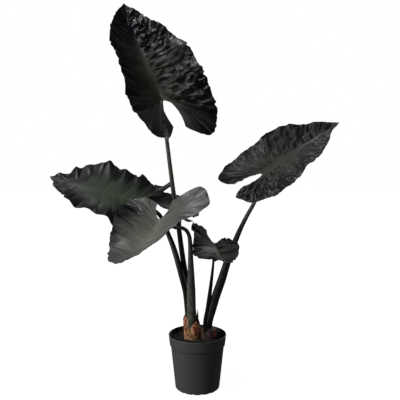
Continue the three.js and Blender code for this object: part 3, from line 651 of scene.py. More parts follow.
def fleshy_stem(leaf):
    """A succulent leaf stalk: smooth skin over ribs, satin, streaked lengthwise and mottled darker.

    Its colour runs from its foot through its body to its top by the stem's own attribute.
    """
    material, tree, shader, place = new_material(f"fleshy_stem_{leaf['name']}")
    along = add(tree, "ShaderNodeAttribute", attribute_name="along").outputs["Fac"]
    drawn = add(tree, "ShaderNodeMapping", {"Vector": place, "Scale": STEM_DRAWN}).outputs["Vector"]
    streak = add(tree, "ShaderNodeTexNoise", {"Vector": drawn, "Scale": per_cell(STEM_STREAK), "Detail": 4,
                                              "Roughness": 0.6}).outputs["Fac"]
    mottle = add(tree, "ShaderNodeTexNoise", {"Vector": place, "Scale": per_cell(STEM_MOTTLE), "Detail": 5,
                                              "Roughness": 0.65}).outputs["Fac"]
    lower = add(tree, "ShaderNodeMapRange", {"Value": along, "From Max": 0.25})
    upper = add(tree, "ShaderNodeMapRange", {"Value": along, "From Min": 0.45})
    depth = add(tree, "ShaderNodeMath", {0: streak, 1: mottle}, operation="MULTIPLY")
    spots = add(tree, "ShaderNodeMapRange", {"Value": depth.outputs["Value"], "From Min": 0.14,
                                             "From Max": 0.38, "To Min": 0.75, "To Max": 0})
    foot, body, top = leaf["stem_tones"]
    colour = linear(foot)
    for cover, code in ((lower, body), (upper, top), (spots, STEM_SPOT)):
        colour = add(tree, "ShaderNodeMix", {"Factor": cover.outputs["Result"], "A": colour,
                                             "B": linear(code)}, data_type="RGBA").outputs["Result"]
    tree.links.new(colour, shader.inputs["Base Color"])
    rough = add(tree, "ShaderNodeMapRange", {"Value": mottle, "To Min": 0.32, "To Max": 0.58})
    tree.links.new(rough.outputs["Result"], shader.inputs["Roughness"])
    bump = add(tree, "ShaderNodeBump", {"Height": streak, "Strength": 0.4, "Distance": 0.6 * MM})
    tree.links.new(bump.outputs["Normal"], shader.inputs["Normal"])
    shader.inputs["IOR"].default_value = leaf["shine"]
    return material


def dry_fibre(name, dark, main, pale):
    """Dry, torn leaf bases round a corm: matt, coarse fibres that run round it, paler at torn edges.

    Pale cloudy patches are partly paler fibre and partly painted highlight, and the bottom of each cup is
    painted in the dark fibre's colour, as painted shade.
    """
    material, tree, shader, place = new_material(name)
    torn, crease = (add(tree, "ShaderNodeAttribute", attribute_name=key).outputs["Fac"]
                    for key in ("torn", "crease"))
    drawn = add(tree, "ShaderNodeMapping", {"Vector": place, "Scale": CUP_DRAWN}).outputs["Vector"]
    fibre = add(tree, "ShaderNodeTexNoise", {"Vector": drawn, "Scale": per_cell(CUP_FIBRE), "Detail": 6,
                                             "Roughness": 0.7, "Distortion": 0.6}).outputs["Fac"]
    cloud = add(tree, "ShaderNodeTexNoise", {"Vector": place, "Scale": per_cell(CUP_CLOUD),
                                             "Detail": 3}).outputs["Fac"]
    spread = add(tree, "ShaderNodeMapRange", {"Value": fibre, "From Min": 0.4, "From Max": 0.58})
    # Pale patches, partly paler fibre and partly painted highlight.
    pale_and_highlight = add(tree, "ShaderNodeMapRange", {"Value": cloud, "From Min": 0.5, "From Max": 0.66})
    colour = linear(dark)
    # Pale cloud patches are partly painted highlight, and the bottoms of the cups are painted dark, as
    # painted shade.
    for cover, code in ((spread.outputs["Result"], main), (pale_and_highlight.outputs["Result"], pale), (torn, pale),
                        (crease, dark)):
        colour = add(tree, "ShaderNodeMix", {"Factor": cover, "A": colour, "B": linear(code)},
                     data_type="RGBA").outputs["Result"]
    tree.links.new(colour, shader.inputs["Base Color"])
    shader.inputs["Roughness"].default_value = 0.8
    bump = add(tree, "ShaderNodeBump", {"Height": fibre, "Strength": 0.8, "Distance": 1.5 * MM})
    tree.links.new(bump.outputs["Normal"], shader.inputs["Normal"])
    return material


def papery_sheath():
    """A sheath leaf, thin and half dry: its own colour from middle to edge, veined lengthwise, satin.

    Blots of it are rotten and dark red-brown, and between them it is dry and straw-coloured.
    """
    material, tree, shader, place = new_material("papery_sheath")
    colour = add(tree, "ShaderNodeAttribute", attribute_name="tint").outputs["Color"]
    drawn = add(tree, "ShaderNodeMapping", {"Vector": place, "Scale": SHEATH_DRAWN}).outputs["Vector"]
    line = add(tree, "ShaderNodeTexNoise", {"Vector": drawn, "Scale": per_cell(SHEATH_LINE),
                                            "Detail": 3}).outputs["Fac"]
    blot = add(tree, "ShaderNodeTexNoise", {"Vector": place, "Scale": per_cell(SHEATH_BLOT),
                                            "Detail": 3}).outputs["Fac"]
    for source, none_at, full_at, most, code in ((line, 0.65, 0.35, 0.55, SHEATH_VEIN),
                                                 (blot, 0.5, 0.6, 0.9, SHEATH_ROTTEN),
                                                 (blot, 0.46, 0.38, 0.5, SHEATH_DRY)):
        cover = add(tree, "ShaderNodeMapRange", {"Value": source, "From Min": none_at, "From Max": full_at,
                                                 "To Max": most})
        colour = add(tree, "ShaderNodeMix", {"Factor": cover.outputs["Result"], "A": colour,
                                             "B": linear(code)}, data_type="RGBA").outputs["Result"]
    tree.links.new(colour, shader.inputs["Base Color"])
    shader.inputs["Roughness"].default_value = 0.55
    shader.inputs["Subsurface Weight"].default_value = 0.08
    shader.inputs["Subsurface Radius"].default_value = (2 * MM, 1 * MM, 0.6 * MM)
    bump = add(tree, "ShaderNodeBump", {"Height": line, "Strength": 0.5, "Distance": 0.5 * MM})
    tree.links.new(bump.outputs["Normal"], shader.inputs["Normal"])
    return material


def potting_mix():
    """Damp peat and bark potting mix: matt, in its own grey-brown and mossy tints, with painted shade in the
    hollows between grains.
    """
    material, tree, shader, place = new_material("potting_mix")
    tint = add(tree, "ShaderNodeAttribute", attribute_name="tint").outputs["Color"]
    crumb = add(tree, "ShaderNodeTexNoise", {"Vector": place, "Scale": per_cell(SOIL_CRUMB), "Detail": 5,
                                             "Roughness": 0.7}).outputs["Fac"]
    # Painted shade where the crumb noise is low, in the hollows between grains.
    depth = add(tree, "ShaderNodeMapRange", {"Value": crumb, "From Min": 0.35, "From Max": 0.65,
                                             "To Min": 0.7, "To Max": 0})
    colour = add(tree, "ShaderNodeMix", {"Factor": depth.outputs["Result"], "A": tint,
                                         "B": linear(SOIL_SHADE)}, data_type="RGBA")
    tree.links.new(colour.outputs["Result"], shader.inputs["Base Color"])
    shader.inputs["Roughness"].default_value = 0.92
    bump = add(tree, "ShaderNodeBump", {"Height": crumb, "Strength": 0.9, "Distance": 1.5 * MM})
    tree.links.new(bump.outputs["Normal"], shader.inputs["Normal"])
    return material


def moulded_pot():
    """Injection-moulded recycled polypropylene: charcoal, a fine matt texture, greyer where rubbed.

    Its inside is painted darker, as painted shade. The real texture is finer: it is drawn 0.7 mm wide, so
    that it shows.
    """
    material, tree, shader, place = new_material("moulded_polypropylene")
    cloud = add(tree, "ShaderNodeTexNoise", {"Vector": place, "Scale": per_cell(POT_CLOUD), "Detail": 4,
                                             "Roughness": 0.55}).outputs["Fac"]
    grain = add(tree, "ShaderNodeTexNoise", {"Vector": place, "Scale": per_cell(POT_GRAIN), "Detail": 2})
    inside = add(tree, "ShaderNodeAttribute", attribute_name="inside").outputs["Fac"]
    colour = linear(POT_DARK)
    # The inside is painted dark, as painted shade.
    for cover, code in ((cloud, POT_RUBBED), (inside, POT_INSIDE_SHADE)):
        colour = add(tree, "ShaderNodeMix", {"Factor": cover, "A": colour, "B": linear(code)},
                     data_type="RGBA").outputs["Result"]
    tree.links.new(colour, shader.inputs["Base Color"])
    rough = add(tree, "ShaderNodeMapRange", {"Value": cloud, "To Min": 0.5, "To Max": 0.62})
    tree.links.new(rough.outputs["Result"], shader.inputs["Roughness"])
    bump = add(tree, "ShaderNodeBump", {"Height": grain.outputs["Fac"], "Strength": 0.25,
                                        "Distance": 0.3 * MM})
    tree.links.new(bump.outputs["Normal"], shader.inputs["Normal"])
    shader.inputs["IOR"].default_value = 1.49
    return material


# Blades.

def leaf_axes(leaf):
    """The blade's own directions as rows: along the midrib, to its left and out of its upper face.

    The midrib is turned from +X by the heading and raised by the rise. The left one starts level and is
    rolled about the midrib.
    """
    heading, rise, roll = (math.radians(leaf[key]) for key in ("heading", "rise", "roll"))
    ahead = np.array([math.cos(heading) * math.cos(rise), math.sin(heading) * math.cos(rise),
                      math.sin(rise)])
    level = np.array([-math.sin(heading), math.cos(heading), 0])
    left = level * math.cos(roll) + np.cross(ahead, level) * math.sin(roll)
    return np.stack([ahead, left, np.cross(ahead, left)])


def place_in_world(leaf, points):
    """Points in the blade's own directions, from its stem's end, as points of the whole plant."""
    return np.asarray(leaf["at"]) + points @ leaf_axes(leaf)


def ragged_edge(leaf, side, q):
    """How far in mm the margin stands out: fine teeth, bites that cut in and scallops, by seeded noise."""
    teeth, bites, scallops = leaf["ragged"][side]
    seed = 40 + side + len(leaf["name"])
    edge = q * EDGE_LENGTHS * leaf["length"]
    return (teeth * noise(edge / TOOTH, 0 * q, seed) - bites * ridges(edge / BITE, 0 * q, seed + 9) ** 6
            + scallops * noise(edge / SCALLOP, 0 * q, seed + 17))


def flat_blade(leaf, side, q, t):
    """The blade laid flat, as x along the midrib and y out from it, with the length of each side vein.

    A vein runs from its root on the midrib to the margin, bowed forward ahead of the stem and outward
    behind it. The margin is ragged, the corner at a lobe's inner end is rounded, the lobe's round end
    swells out, and the cleft between the lobes opens at once to its half width.
    """
    length = leaf["length"]
    outline = np.array([(1, 0)] + leaf["outline"][side]) * length
    margin = through(outline, q)
    root = np.where(q < SINUS_SHARE, length * (1 - q / SINUS_SHARE),
                    -leaf["notch"] * (q - SINUS_SHARE) / (1 - SINUS_SHARE))
    behind = smooth(q, SINUS_SHARE, 1)
    reach = np.hypot(margin[..., 0] - root, margin[..., 1])
    arch = 2 * t * (1 - t) * reach
    cut = CORNER_CUT * (1 - np.sqrt(1 - smooth(q, CORNER_FROM, 1.01) ** 2))
    swelling = leaf["lobe_full"][side] * hump(q - leaf["full_at"][side], LOBE_END_SHARE)
    shift = ragged_edge(leaf, side, q) / np.maximum(reach, 20) * smooth(t, 0.7, 1)
    t = t * (1 + shift * np.sin(np.pi * q) ** 0.5 + (swelling - cut) * t)
    x = mix(root, margin[..., 0], t) - arch * VEIN_BOW * (1 - behind)
    y = margin[..., 1] * t + arch * SINUS_BOW * behind
    gap = leaf["sinus"][side]
    opening = gap * (1 - np.exp(-2 * t * reach / gap)) * np.clip(1 - t, 0, 1) ** 1.5
    return x, y + opening * behind ** 3, reach


def crinkles(leaf, side, q, t, reach, speed):
    """Crumpling of the skin: long facets that lie along the side veins, short ones over them and pleats
    at the margin. They fade out at the midrib, in the lobes, in quiet patches and at the margin itself."""
    long_height, short_height, pleat_height, pleats_from, pleats_to = leaf["crinkle"][side]
    seed = 60 + 7 * side + len(leaf["name"])
    out = t * reach
    along = q * EDGE_LENGTHS * leaf["length"]
    long_facets, short_facets, pleats = (
        crumple(out / (longer * leaf["crinkle_size"]) + start_out,
                along / (wider * leaf["crinkle_size"]) + start_along, seed + extra)
        for longer, wider, start_out, start_along, extra in FACETS)
    quiet = 0.3 + 0.7 * smooth(noise(out / 75 + 3, along / 60, seed + 9), -0.6, 0.1)
    in_lobe = 1 - (1 - leaf["lobe_crinkle"]) * smooth(q, 0.6, 0.72)
    clear_of_roots = smooth(q, 0.02, 0.12) * smooth(speed / FINE_VEINS, 3, 12)
    zone = smooth(t, 0.04, 0.2) * (1 - 0.45 * smooth(t, 0.86, 1)) * in_lobe * quiet
    pleated = smooth(q, pleats_from, pleats_from + PLEAT_FADE) * smooth(t, 0.25, 0.85)
    pleated = pleated * (1 - smooth(q, pleats_to - PLEAT_FADE, pleats_to))
    return clear_of_roots * (zone * (long_height * long_facets + short_height * short_facets)
                             + pleated * pleat_height * pleats)


def vein_distance(q, count, speed):
    """Distance in mm from the nearest of a count of side veins, spread evenly from tip to inner end."""
    return np.abs((count * q + 0.5) % 1 - 0.5) * speed / count


def blade_relief(leaf, side, q, t, reach, speed):
    """Height off the smooth sheet: the waved margin, the swelling between main veins, as in the solids,
    and on top of them the crinkles, a groove over each side vein and a fine frill at the margin."""
    fade = np.sqrt(np.sin(np.pi * np.clip(q, 0, 1))) * smooth(t, CALM_FROM, CALM_SHARE)
    wave = leaf["wave"] * fade * t ** 3 * np.sin(2 * np.pi * (leaf["waves"] * q + leaf["phase"][side]))
    swell = (leaf["puff"] * fade * (np.abs(np.sin(np.pi * MAIN_VEINS * q)) - 0.5)
             * np.sin(np.pi * t ** 0.8) * smooth(t, 0, 0.2))
    groove = 0.5 * hump(vein_distance(q, FINE_VEINS, speed), 1.7) * smooth(t, 0.02, 0.2) * (1 - 0.7 * t)
    frill = noise(q * leaf["length"] / 6, t * 2, 80 + side) * 0.9 * smooth(t, 0.85, 1) * fade
    return wave + swell + frill - groove + crinkles(leaf, side, q, t, reach, speed)


def never_straight(bend):
    """A bend in radians per mm, or a hair above none, because an arc's formula divides by it."""
    return np.where(np.abs(bend) < 1e-8, 1e-8, bend)


def bent_blade(leaf, side, x, y, lift):
    """The flat blade folded up at the midrib, curled outwards, twisted and bowed along the midrib.

    Out from the midrib the slope starts at the fold and grows evenly with the distance, so each side is an
    arc across, and the midrib is one arc ahead of the stem and another behind it. The fold is a rounded
    valley ahead of the stem and sharp at the stem itself.
    """
    length = leaf["length"]
    share = smooth(x, LOBE_SLOPE_UNTIL * length, MAIN_SLOPE_FROM * length)
    fold = np.radians(mix(leaf["lobe_fold"][side], leaf["fold"][side], share))
    curl = np.radians(mix(leaf["lobe_curl"][side], leaf["curl"][side], share))
    curl = never_straight(curl / (0.5 * length))
    slope = fold + curl * y
    out = (np.sin(slope) - np.sin(fold)) / curl * (1 if side == 0 else -1)
    depth = leaf["valley"] * np.sin(np.radians(np.mean(leaf["fold"])))
    depth = depth * smooth(x, 0.02 * length, 0.25 * length)
    valley = depth * np.exp(-np.abs(y) * np.sin(fold) / np.maximum(depth, 0.05))
    lift = lift + (np.cos(fold) - np.cos(slope)) / curl + valley
    bow = never_straight(np.radians(np.where(x < 0, -leaf["lobe_bend"] / 0.5, leaf["bend"])) / length)
    turn = bow * x
    twist = np.radians(leaf["twist"]) * x / length
    across = out * np.cos(twist) - lift * np.sin(twist)
    height = lift * np.cos(twist) + out * np.sin(twist)
    return np.stack([np.sin(turn) / bow - height * np.sin(turn), across,
                     (1 - np.cos(turn)) / bow + height * np.cos(turn)], -1)


def sunk(height):
    """How far in mm each point lies below the mean of the four points two steps from it on the grid."""
    wide = np.pad(height, 2, mode="edge")
    around = wide[4:, 2:-2] + wide[:-4, 2:-2] + wide[2:-2, 4:] + wide[2:-2, :-4]
    return around / 4 - height


def patch(spots, side, x, y):
    """How much a point lies in round spots, each a bell with a side (2 is both), x, y and a width."""
    shares = [hump(np.hypot(x - at_x, y - at_y), width) * (on in (side, 2))
              for on, at_x, at_y, width in spots]
    return np.clip(sum(shares), 0, 1) + 0 * x


def blade_half(leaf, side, q, t):
    """One side of a blade: its points, thickness, and how much each is a vein above, a rib below, heart,
    sleek spot painted with shade, dusty spot, painted with shade on the right leaf, and crease painted with
    shade.

    A vein or rib is a bell of the distance from its line in mm, finer towards the margin or the tip. The
    sheet thins from midrib to margin and is thicker by its ribs, and painted shade lies in a crease, where
    the relief is sunk.
    """
    x, y, reach = flat_blade(leaf, side, q, t)
    speed = np.hypot(np.gradient(x, axis=0), np.gradient(y, axis=0)) / np.gradient(q, axis=0)
    relief = blade_relief(leaf, side, q, t, reach, speed)
    # Painted shade in the creases: how far the relief is sunk sets how dark the skin is painted there.
    crease = smooth(sunk(relief), 0.06, 0.4)
    points = bent_blade(leaf, side, x, y, relief)

    taper = 1 - 0.75 * t
    on_main = hump(vein_distance(q, MAIN_VEINS, speed), 1.5) * taper
    on_fine = 0.6 * hump(vein_distance(q, FINE_VEINS, speed), 1.1) * taper
    lines = np.maximum(on_main, on_fine)
    tip_share = np.clip(x / leaf["length"], 0, 1)
    on_midrib = hump(y, mix(2.6, 1.0, tip_share)) * smooth(x, -leaf["notch"], 0)
    on_lobe_rib = hump(np.abs(q - LOBE_RIB_SHARE) * speed, 2.2) * (1 - t) * smooth(t, 0, 0.08)
    ribs = np.maximum(mix(3.0, 0.6, tip_share) * on_midrib, 2.0 * on_lobe_rib)
    thickness = mix(1.0, MARGIN_THICKNESS, t) + np.maximum(ribs, 0.8 * lines)
    x, y = x / leaf["length"], np.abs(y) / leaf["length"]
    heart = hump(x - 0.15, 0.38) * hump(y, 0.2)
    at_heart, at_lobe = leaf["vein_at"][side]
    in_lobe = smooth(q, 0.76, 0.86) * smooth(t, 0.4, 0.65)
    vein = np.maximum(lines, 0.3 * on_midrib) * (at_heart * heart + at_lobe * in_lobe)
    # Spots of painted shade: the sleek near-black ones, and the dusty ones, which the right leaf paints near
    # black.
    dusk, bloom = (patch(leaf[key], side, x, y) for key in ("dusk", "bloom"))
    return points, thickness, vein, np.maximum(lines, on_midrib), heart, dusk, bloom, crease


def make_blade(leaf, material):
    """A blade as one closed sheet from margin to margin, its rows crowded together near each side vein.

    Its lower face lies its thickness below the upper one, along the upper one's normals.
    """
    small = leaf["length"] < SMALL_BLADE
    rows, columns = (SMALL_ROWS_A_VEIN, SMALL_COLUMNS) if small else (ROWS_A_VEIN, BLADE_COLUMNS)
    even = np.linspace(0, FINE_VEINS, FINE_VEINS * rows + 1)
    q = (even - ROW_CROWDING * np.sin(2 * np.pi * even)) / FINE_VEINS
    t = np.linspace(0, 1, columns) ** COLUMN_CROWDING
    q_grid, t_grid = np.meshgrid(q, t, indexing="ij")
    halves = [blade_half(leaf, side, q_grid, t_grid) for side in (0, 1)]
    whole = [np.concatenate([left[:, :0:-1], right], axis=1) for left, right in zip(*halves)]
    points, thickness, *shares = whole
    across, back = np.gradient(points, axis=1), np.gradient(points, axis=0)
    normals = unit(np.cross(back, across))
    normals[0] = unit(normals[1].mean(0))
    thickness[0] = MARGIN_THICKNESS
    under = points - normals * thickness[..., None]
    skin = closed_sheet(place_in_world(leaf, points), place_in_world(leaf, under))
    vein, rib, *looks = (np.clip(share.ravel(), 0, 1) for share in shares)
    heart, dusk, bloom, crease = (np.tile(look, 2) for look in looks)
    make_piece(f"leaf_{leaf['name']}", skin, material, "leaf_blade", f"blade_{leaf['name']}",
               vein=np.concatenate([vein, rib]), heart=heart, dusk=dusk, bloom=bloom, crease=crease,
               under=np.repeat([0, 1], vein.size))


# Stems.

def turned_hump(turn, centre, width):
    """A bell round the stem: 1 at the centre angle, by the shorter way round, in radians."""
    return hump((turn - centre + np.pi) % (2 * np.pi) - np.pi, width)


def make_stem(leaf, material):
    """A stem: a tube on the part's own route, ribbed lengthwise, with a sheath's groove and lip low down.

    The ribs are a wave of 13 round the tube, uneven by a slow noise. At its top the tube narrows as a
    square root and ends inside the blade's midrib.
    """
    axes = leaf_axes(leaf)
    neck = [tuple(leaf["at"] + x * axes[0] + z * axes[2]) + (radius,) for x, z, radius in leaf["neck"]]
    stations = np.array(leaf["stem"] + neck)
    share = np.linspace(0, 1, ROUTE_STEPS * len(stations))
    route = through(stations[:, :3], share)
    measured = np.concatenate([[0], np.cumsum(np.linalg.norm(np.diff(route, axis=0), axis=1))])
    radii = np.interp(share, np.linspace(0, 1, len(stations)), stations[:, 3])
    from_seat = route - leaf["at"]
    seated = (np.linalg.norm(from_seat, axis=1) < STEM_SEAT_REACH) & (from_seat @ axes[2] > -STEM_SEAT_DEPTH)
    end = measured[np.argmax(seated)] if np.any(seated) else measured[-1]
    gone = np.linspace(0, end, max(STEM_LEAST_RINGS, int(end / STEM_STEP)))
    middle = np.stack([np.interp(gone, measured, route[:, n]) for n in range(3)], -1)
    radius = np.interp(gone, measured, radii) * np.sqrt(np.clip((end - gone) / STEM_NARROWS, 0.05, 1))
    tangent = unit(np.gradient(middle, axis=0))
    chord = np.asarray(leaf["at"], float) - stations[0, :3]
    aside = unit(np.array([-chord[1], chord[0], 0.0]))
    side = unit(aside - (tangent @ aside)[:, None] * tangent)
    other = np.cross(tangent, side)

    angle = np.linspace(0, 2 * np.pi, STEM_SIDES, endpoint=False)
    turn, way = np.meshgrid(angle, gone, indexing="xy")
    sheath = 1 - smooth(middle[:, 2:3], *SHEATH_FADES)
    groove = turned_hump(turn, GROOVE_ANGLE - way / SHEATH_TURN, 0.22)
    lip = turned_hump(turn, LIP_ANGLE - way / SHEATH_TURN, 0.3)
    ribs = 0.14 * np.cos(13 * turn + 0.6 * np.sin(way / 40)) + 0.25 * noise(turn * 3, way / 30, 90)
    reach = radius[:, None] * (1 + (ribs + sheath * (0.9 * lip - 1.5 * groove)) / 12)
    skin = closed_tube(round_path(middle, side, other, reach, turn))
    along = np.concatenate([[0], gone / end, [1]])
    make_piece(f"stalk_{leaf['name']}", skin, material, "stem_skin", f"stem_{leaf['name']}",
               along=np.repeat(along, STEM_SIDES))


# Corms.

def make_corm(corm, material, sheath):
    """A corm with its scales and fibres: rings of torn leaf bases stacked like cups, under a low dome.

    A ring is the height, bent by waves and noise, counted in cups. Within a cup the radius grows evenly to
    a ragged, paler edge, and fibres stand on it as ridges of noise.
    """
    cx, cy = corm["centre"]
    profile = np.array(corm["profile"], float)
    level = np.linspace(profile[0, 0], profile[-1, 0], CORM_RINGS)
    angle = np.linspace(0, 2 * np.pi, CORM_SIDES, endpoint=False)
    turn, z = np.meshgrid(angle, level, indexing="xy")
    radius = np.interp(z, profile[:, 0], profile[:, 1])
    seed = corm["seed"]
    ring = (z + 1.4 * np.sin(2 * turn + seed) + 1.1 * noise(turn * 5, z / 9, seed)
            + 1.6 * noise(turn * 3, z / 20, seed + 4)) / CUP_HEIGHT
    cup = ring % 1
    ragged = noise(turn * 14, np.floor(ring) + 0 * z, seed + 1)
    edge = smooth(cup, 0.55 + 0.25 * ragged, 0.95)
    fibres = ridges(turn * 16, z / 6 + noise(turn * 4, z / 8, seed + 2), seed + 3)
    reach = radius - 1.4 + 2.1 * cup * (0.75 + 0.4 * ragged) + 0.9 * fibres
    rings = np.stack([cx + reach * np.cos(turn), cy + reach * np.sin(turn), z], -1)
    dome = np.linspace(0, 1, 9)[1:, None, None]
    crown = np.concatenate([mix(rings[-1:, :, :2], np.array([cx, cy]), dome * 0.999),
                            rings[-1:, :, 2:] + 4 * np.sin(dome * np.pi / 2)], -1)
    capped = ((1, len(crown) + 1), (0, 0))
    # The crease mask is painted shade at the bottom of each cup, where it tucks under the cup above.
    make_piece(f"{corm['name']}_cups", closed_tube(np.concatenate([rings, crown])), material, corm["slot"],
               corm["name"], torn=np.pad(edge * (0.35 + 0.65 * fibres), capped).ravel(),
               crease=np.pad(1 - smooth(cup, 0.05, 0.4), capped).ravel())
    make_scales(corm, sheath)
    make_fibres(corm, material)


def scale_leaf(scale, seed):
    """One sheath leaf: a pointed oval that wraps the corm, ribbed lengthwise, with a curled edge.

    s runs from foot to tip and w from edge to edge. The wrap falls back by the square of the width, and the
    bulge is half a sine wave along the leaf with fine ribs across it.
    """
    foot, tip = np.array(scale["foot"], float), np.array(scale["tip"], float)
    turn = math.radians(scale["facing"])
    outward = np.array([math.cos(turn), math.sin(turn), 0.0])
    across = np.cross([0, 0, 1.0], outward)
    s, w = np.meshgrid(np.linspace(0, 1, 40), np.linspace(1, -1, 25), indexing="ij")
    widths = np.array([(0, 0.75), (0.2, 0.95), (0.4, 1), (0.6, 0.85), (0.8, 0.5), (1, 0.04)])
    wide = scale["half"] * through(widths, s ** scale.get("blunt", 1))[..., 1] * w
    wide = wide * (1 + 0.1 * noise(s * 9, np.sign(w) + 3, seed) + 0.05 * noise(s * 22, np.sign(w) + 3, seed))
    wrap = -wide ** 2 / (3 * scale["half"]) + 0.8 * np.abs(w) ** 4 * smooth(s, 0.3, 1)
    bulge = 2.5 * np.sin(np.pi * s) + 0.22 * np.cos(w * 22) + 0.5 * noise(s * 5, w * 3, seed + 1)
    spine = foot + s[..., None] * (tip - foot)
    top = spine + across * wide[..., None] + outward * (wrap + bulge + 0.6)[..., None]
    thickness = mix(1.6, 0.5, np.abs(w)) * mix(1, 0.5, s)
    under = top - outward * thickness[..., None]
    middle, edge = np.array(linear(scale["middle"])), np.array(linear(scale["edge"]))
    share = np.clip(smooth(np.abs(w), 0.25, 0.95) * 0.8 + 0.3 * noise(s * 7, w * 3, seed + 2), 0, 1)
    tint = mix(middle, edge, share[..., None]).reshape(-1, 4)
    return closed_sheet(top, under), np.concatenate([tint, tint])


def make_scales(corm, material):
    """All the sheath leaves of a corm as one piece."""
    made = [scale_leaf(scale, corm["seed"] + 5 * n) for n, scale in enumerate(corm["scales"])]
    make_piece(f"{corm['name']}_scales", gather([skin for skin, _ in made]), material, corm["slot"],
               tint=np.concatenate([tint for _, tint in made]))


def make_fibres(corm, material):
    """Loose dry fibres: thin tapered tubes that start on the corm and stand out from it by a sine.

    Each of them rises or, by a draw, falls back as a parabola.
    """
    draw = np.random.default_rng(corm["seed"])
    profile = np.array(corm["profile"], float)
    cx, cy = corm["centre"]
    s = np.linspace(0, 1, 7)
    skins, torn = [], []
    for _ in range(LOOSE_FIBRES):
        start_z = draw.uniform(FIBRES_FROM_Z, profile[-1, 0] - 4)
        start = draw.uniform(0, 2 * np.pi)
        length, falls = draw.uniform(5, 13), draw.uniform(-0.7, 0.9) > 0
        swing, thick = draw.uniform(-0.35, 0.35), draw.uniform(0.25, 0.5)
        z = start_z + 0.6 * length * s * (1 - 1.6 * s * falls)
        reach = np.interp(z, profile[:, 0], profile[:, 1]) - 0.6 + 2.6 * np.sin(s * 2.2)
        turn = start + swing * s
        path = np.stack([cx + reach * np.cos(turn), cy + reach * np.sin(turn), z], -1)
        skins.append(thin_tube(path, thick * (1 - 0.85 * s)))
        torn.append(np.full(len(skins[-1][0]), draw.uniform(0.1, 0.9)))
    make_piece(f"{corm['name']}_fibres", gather(skins), material, corm["slot"],
               torn=np.concatenate(torn))


def thin_tube(path, radius):
    """A four-sided tube along a short path, its first side square to the path and to one fixed slant."""
    tangent = unit(np.gradient(path, axis=0))
    side = unit(np.cross(tangent, [0.3, 0.2, 0.93]))
    angle = np.arange(4) * np.pi / 2
    return closed_tube(round_path(path, side, np.cross(tangent, side), radius[:, None], angle))


# Soil.

def soil_height(x, y):
    """The heaped top of the soil: the solids' slow and quick waves round its level."""
    slow = np.sin(x / 17 + 1) * np.cos(y / 21 - 0.6)
    quick = np.sin(x / 5.3 + y / 9) * np.sin(y / 6.1 - x / 13)
    return SOIL_TOP_Z + SOIL_HEAP * (0.6 * slow + 0.4 * quick)


def make_soil(material):
    """The soil: its sides follow the pot's inside and its top is the heaped level broken into crumbs.

    Crumbs are three noises on cells of 4, 1.7 and 11 mm. The tint is earth, mottled by noise, with moss.
    """
    angle = np.linspace(0, 2 * np.pi, 240, endpoint=False)
    inner = POT_WALL + SOIL_ROOM
    sides = [(POLE, POT_FLOOR + 0.3), (POT_BASE_RADIUS - 2, POT_FLOOR + 0.3),
             (POT_BODY_FOOT[0] - inner, POT_BODY_FOOT[1] + 2), (POT_BODY_TOP[0] - inner, POT_BODY_TOP[1]),
             (POT_COLLAR_FOOT[0] - inner, POT_COLLAR_FOOT[1] + 3)]
    top = SOIL_RADIUS * np.sqrt(np.linspace(1, 0.0001, 90))
    radius, turn = np.meshgrid(np.concatenate([[r for r, _ in sides], top]), angle, indexing="ij")
    x, y = radius * np.cos(turn), radius * np.sin(turn)
    z = soil_height(x, y)
    for height, cell, seed in ((1.5, 4, 30), (0.9, 1.7, 31), (1.4, 11, 32)):
        z = z + height * noise(x / cell, y / cell, seed)
    for row, (_, level) in enumerate(sides):
        z[row] = level
    moss = np.clip(moss_cover(x, y), 0, 1)[..., None]
    earth = np.array(linear(EARTH)) * (1 + 0.4 * noise(x / 3, y / 3, 33))[..., None]
    tint = mix(earth, np.array(linear(MOSSY_EARTH)), moss * 0.7)
    tint[..., 3] = 1
    tint = np.concatenate([tint[:1], tint, tint[-1:]]).reshape(-1, 4)
    make_piece("soil_bed", closed_tube(np.stack([x, y, z], -1)), material, "potting_soil", "soil",
               sharp_deg=180, tint=tint)


def moss_cover(x, y):
    """How mossy the soil is: two bells, the greater at the front left of the corms, in blots of noise."""
    left = hump(x + 42, 26) * hump(y + 36, 26)
    right = 0.35 * hump(x - 40, 25) * hump(y + 48, 20)
    return (left + right) * (0.6 + 0.8 * noise(x / 8, y / 8, 34))


def lump(draw, size):
    """A crumb: six-sided rings like a ball's levels, each corner pulled in or out at random."""
    turn, rise = np.meshgrid(np.linspace(0, 2 * np.pi, 6, endpoint=False),
                             1.5 * np.array([-0.9, -0.2, 0.55, 1.0]), indexing="xy")
    ring = np.stack([np.cos(turn) * np.cos(rise), np.sin(turn) * np.cos(rise), np.sin(rise)], -1)
    ring = ring * draw.uniform(0.7, 1.2, ring.shape[:2] + (1,)) * size * draw.uniform(0.6, 1.3, 3)
    spin = draw.uniform(0, 2 * np.pi)
    turned = np.array([[math.cos(spin), -math.sin(spin), 0], [math.sin(spin), math.cos(spin), 0], [0, 0, 1]])
    return ring @ turned.T


def free_spots(draw, count, radius):
    """Random places on the soil that lie outside both corms: the first ones of three times as many."""
    spots = draw.uniform(-radius, radius, (count * 3, 2))
    clear = np.hypot(*spots.T) < radius
    for corm in CORMS:
        clear &= np.hypot(*(spots - corm["centre"]).T) > CORM_CLEARANCE
    return spots[clear][:count]


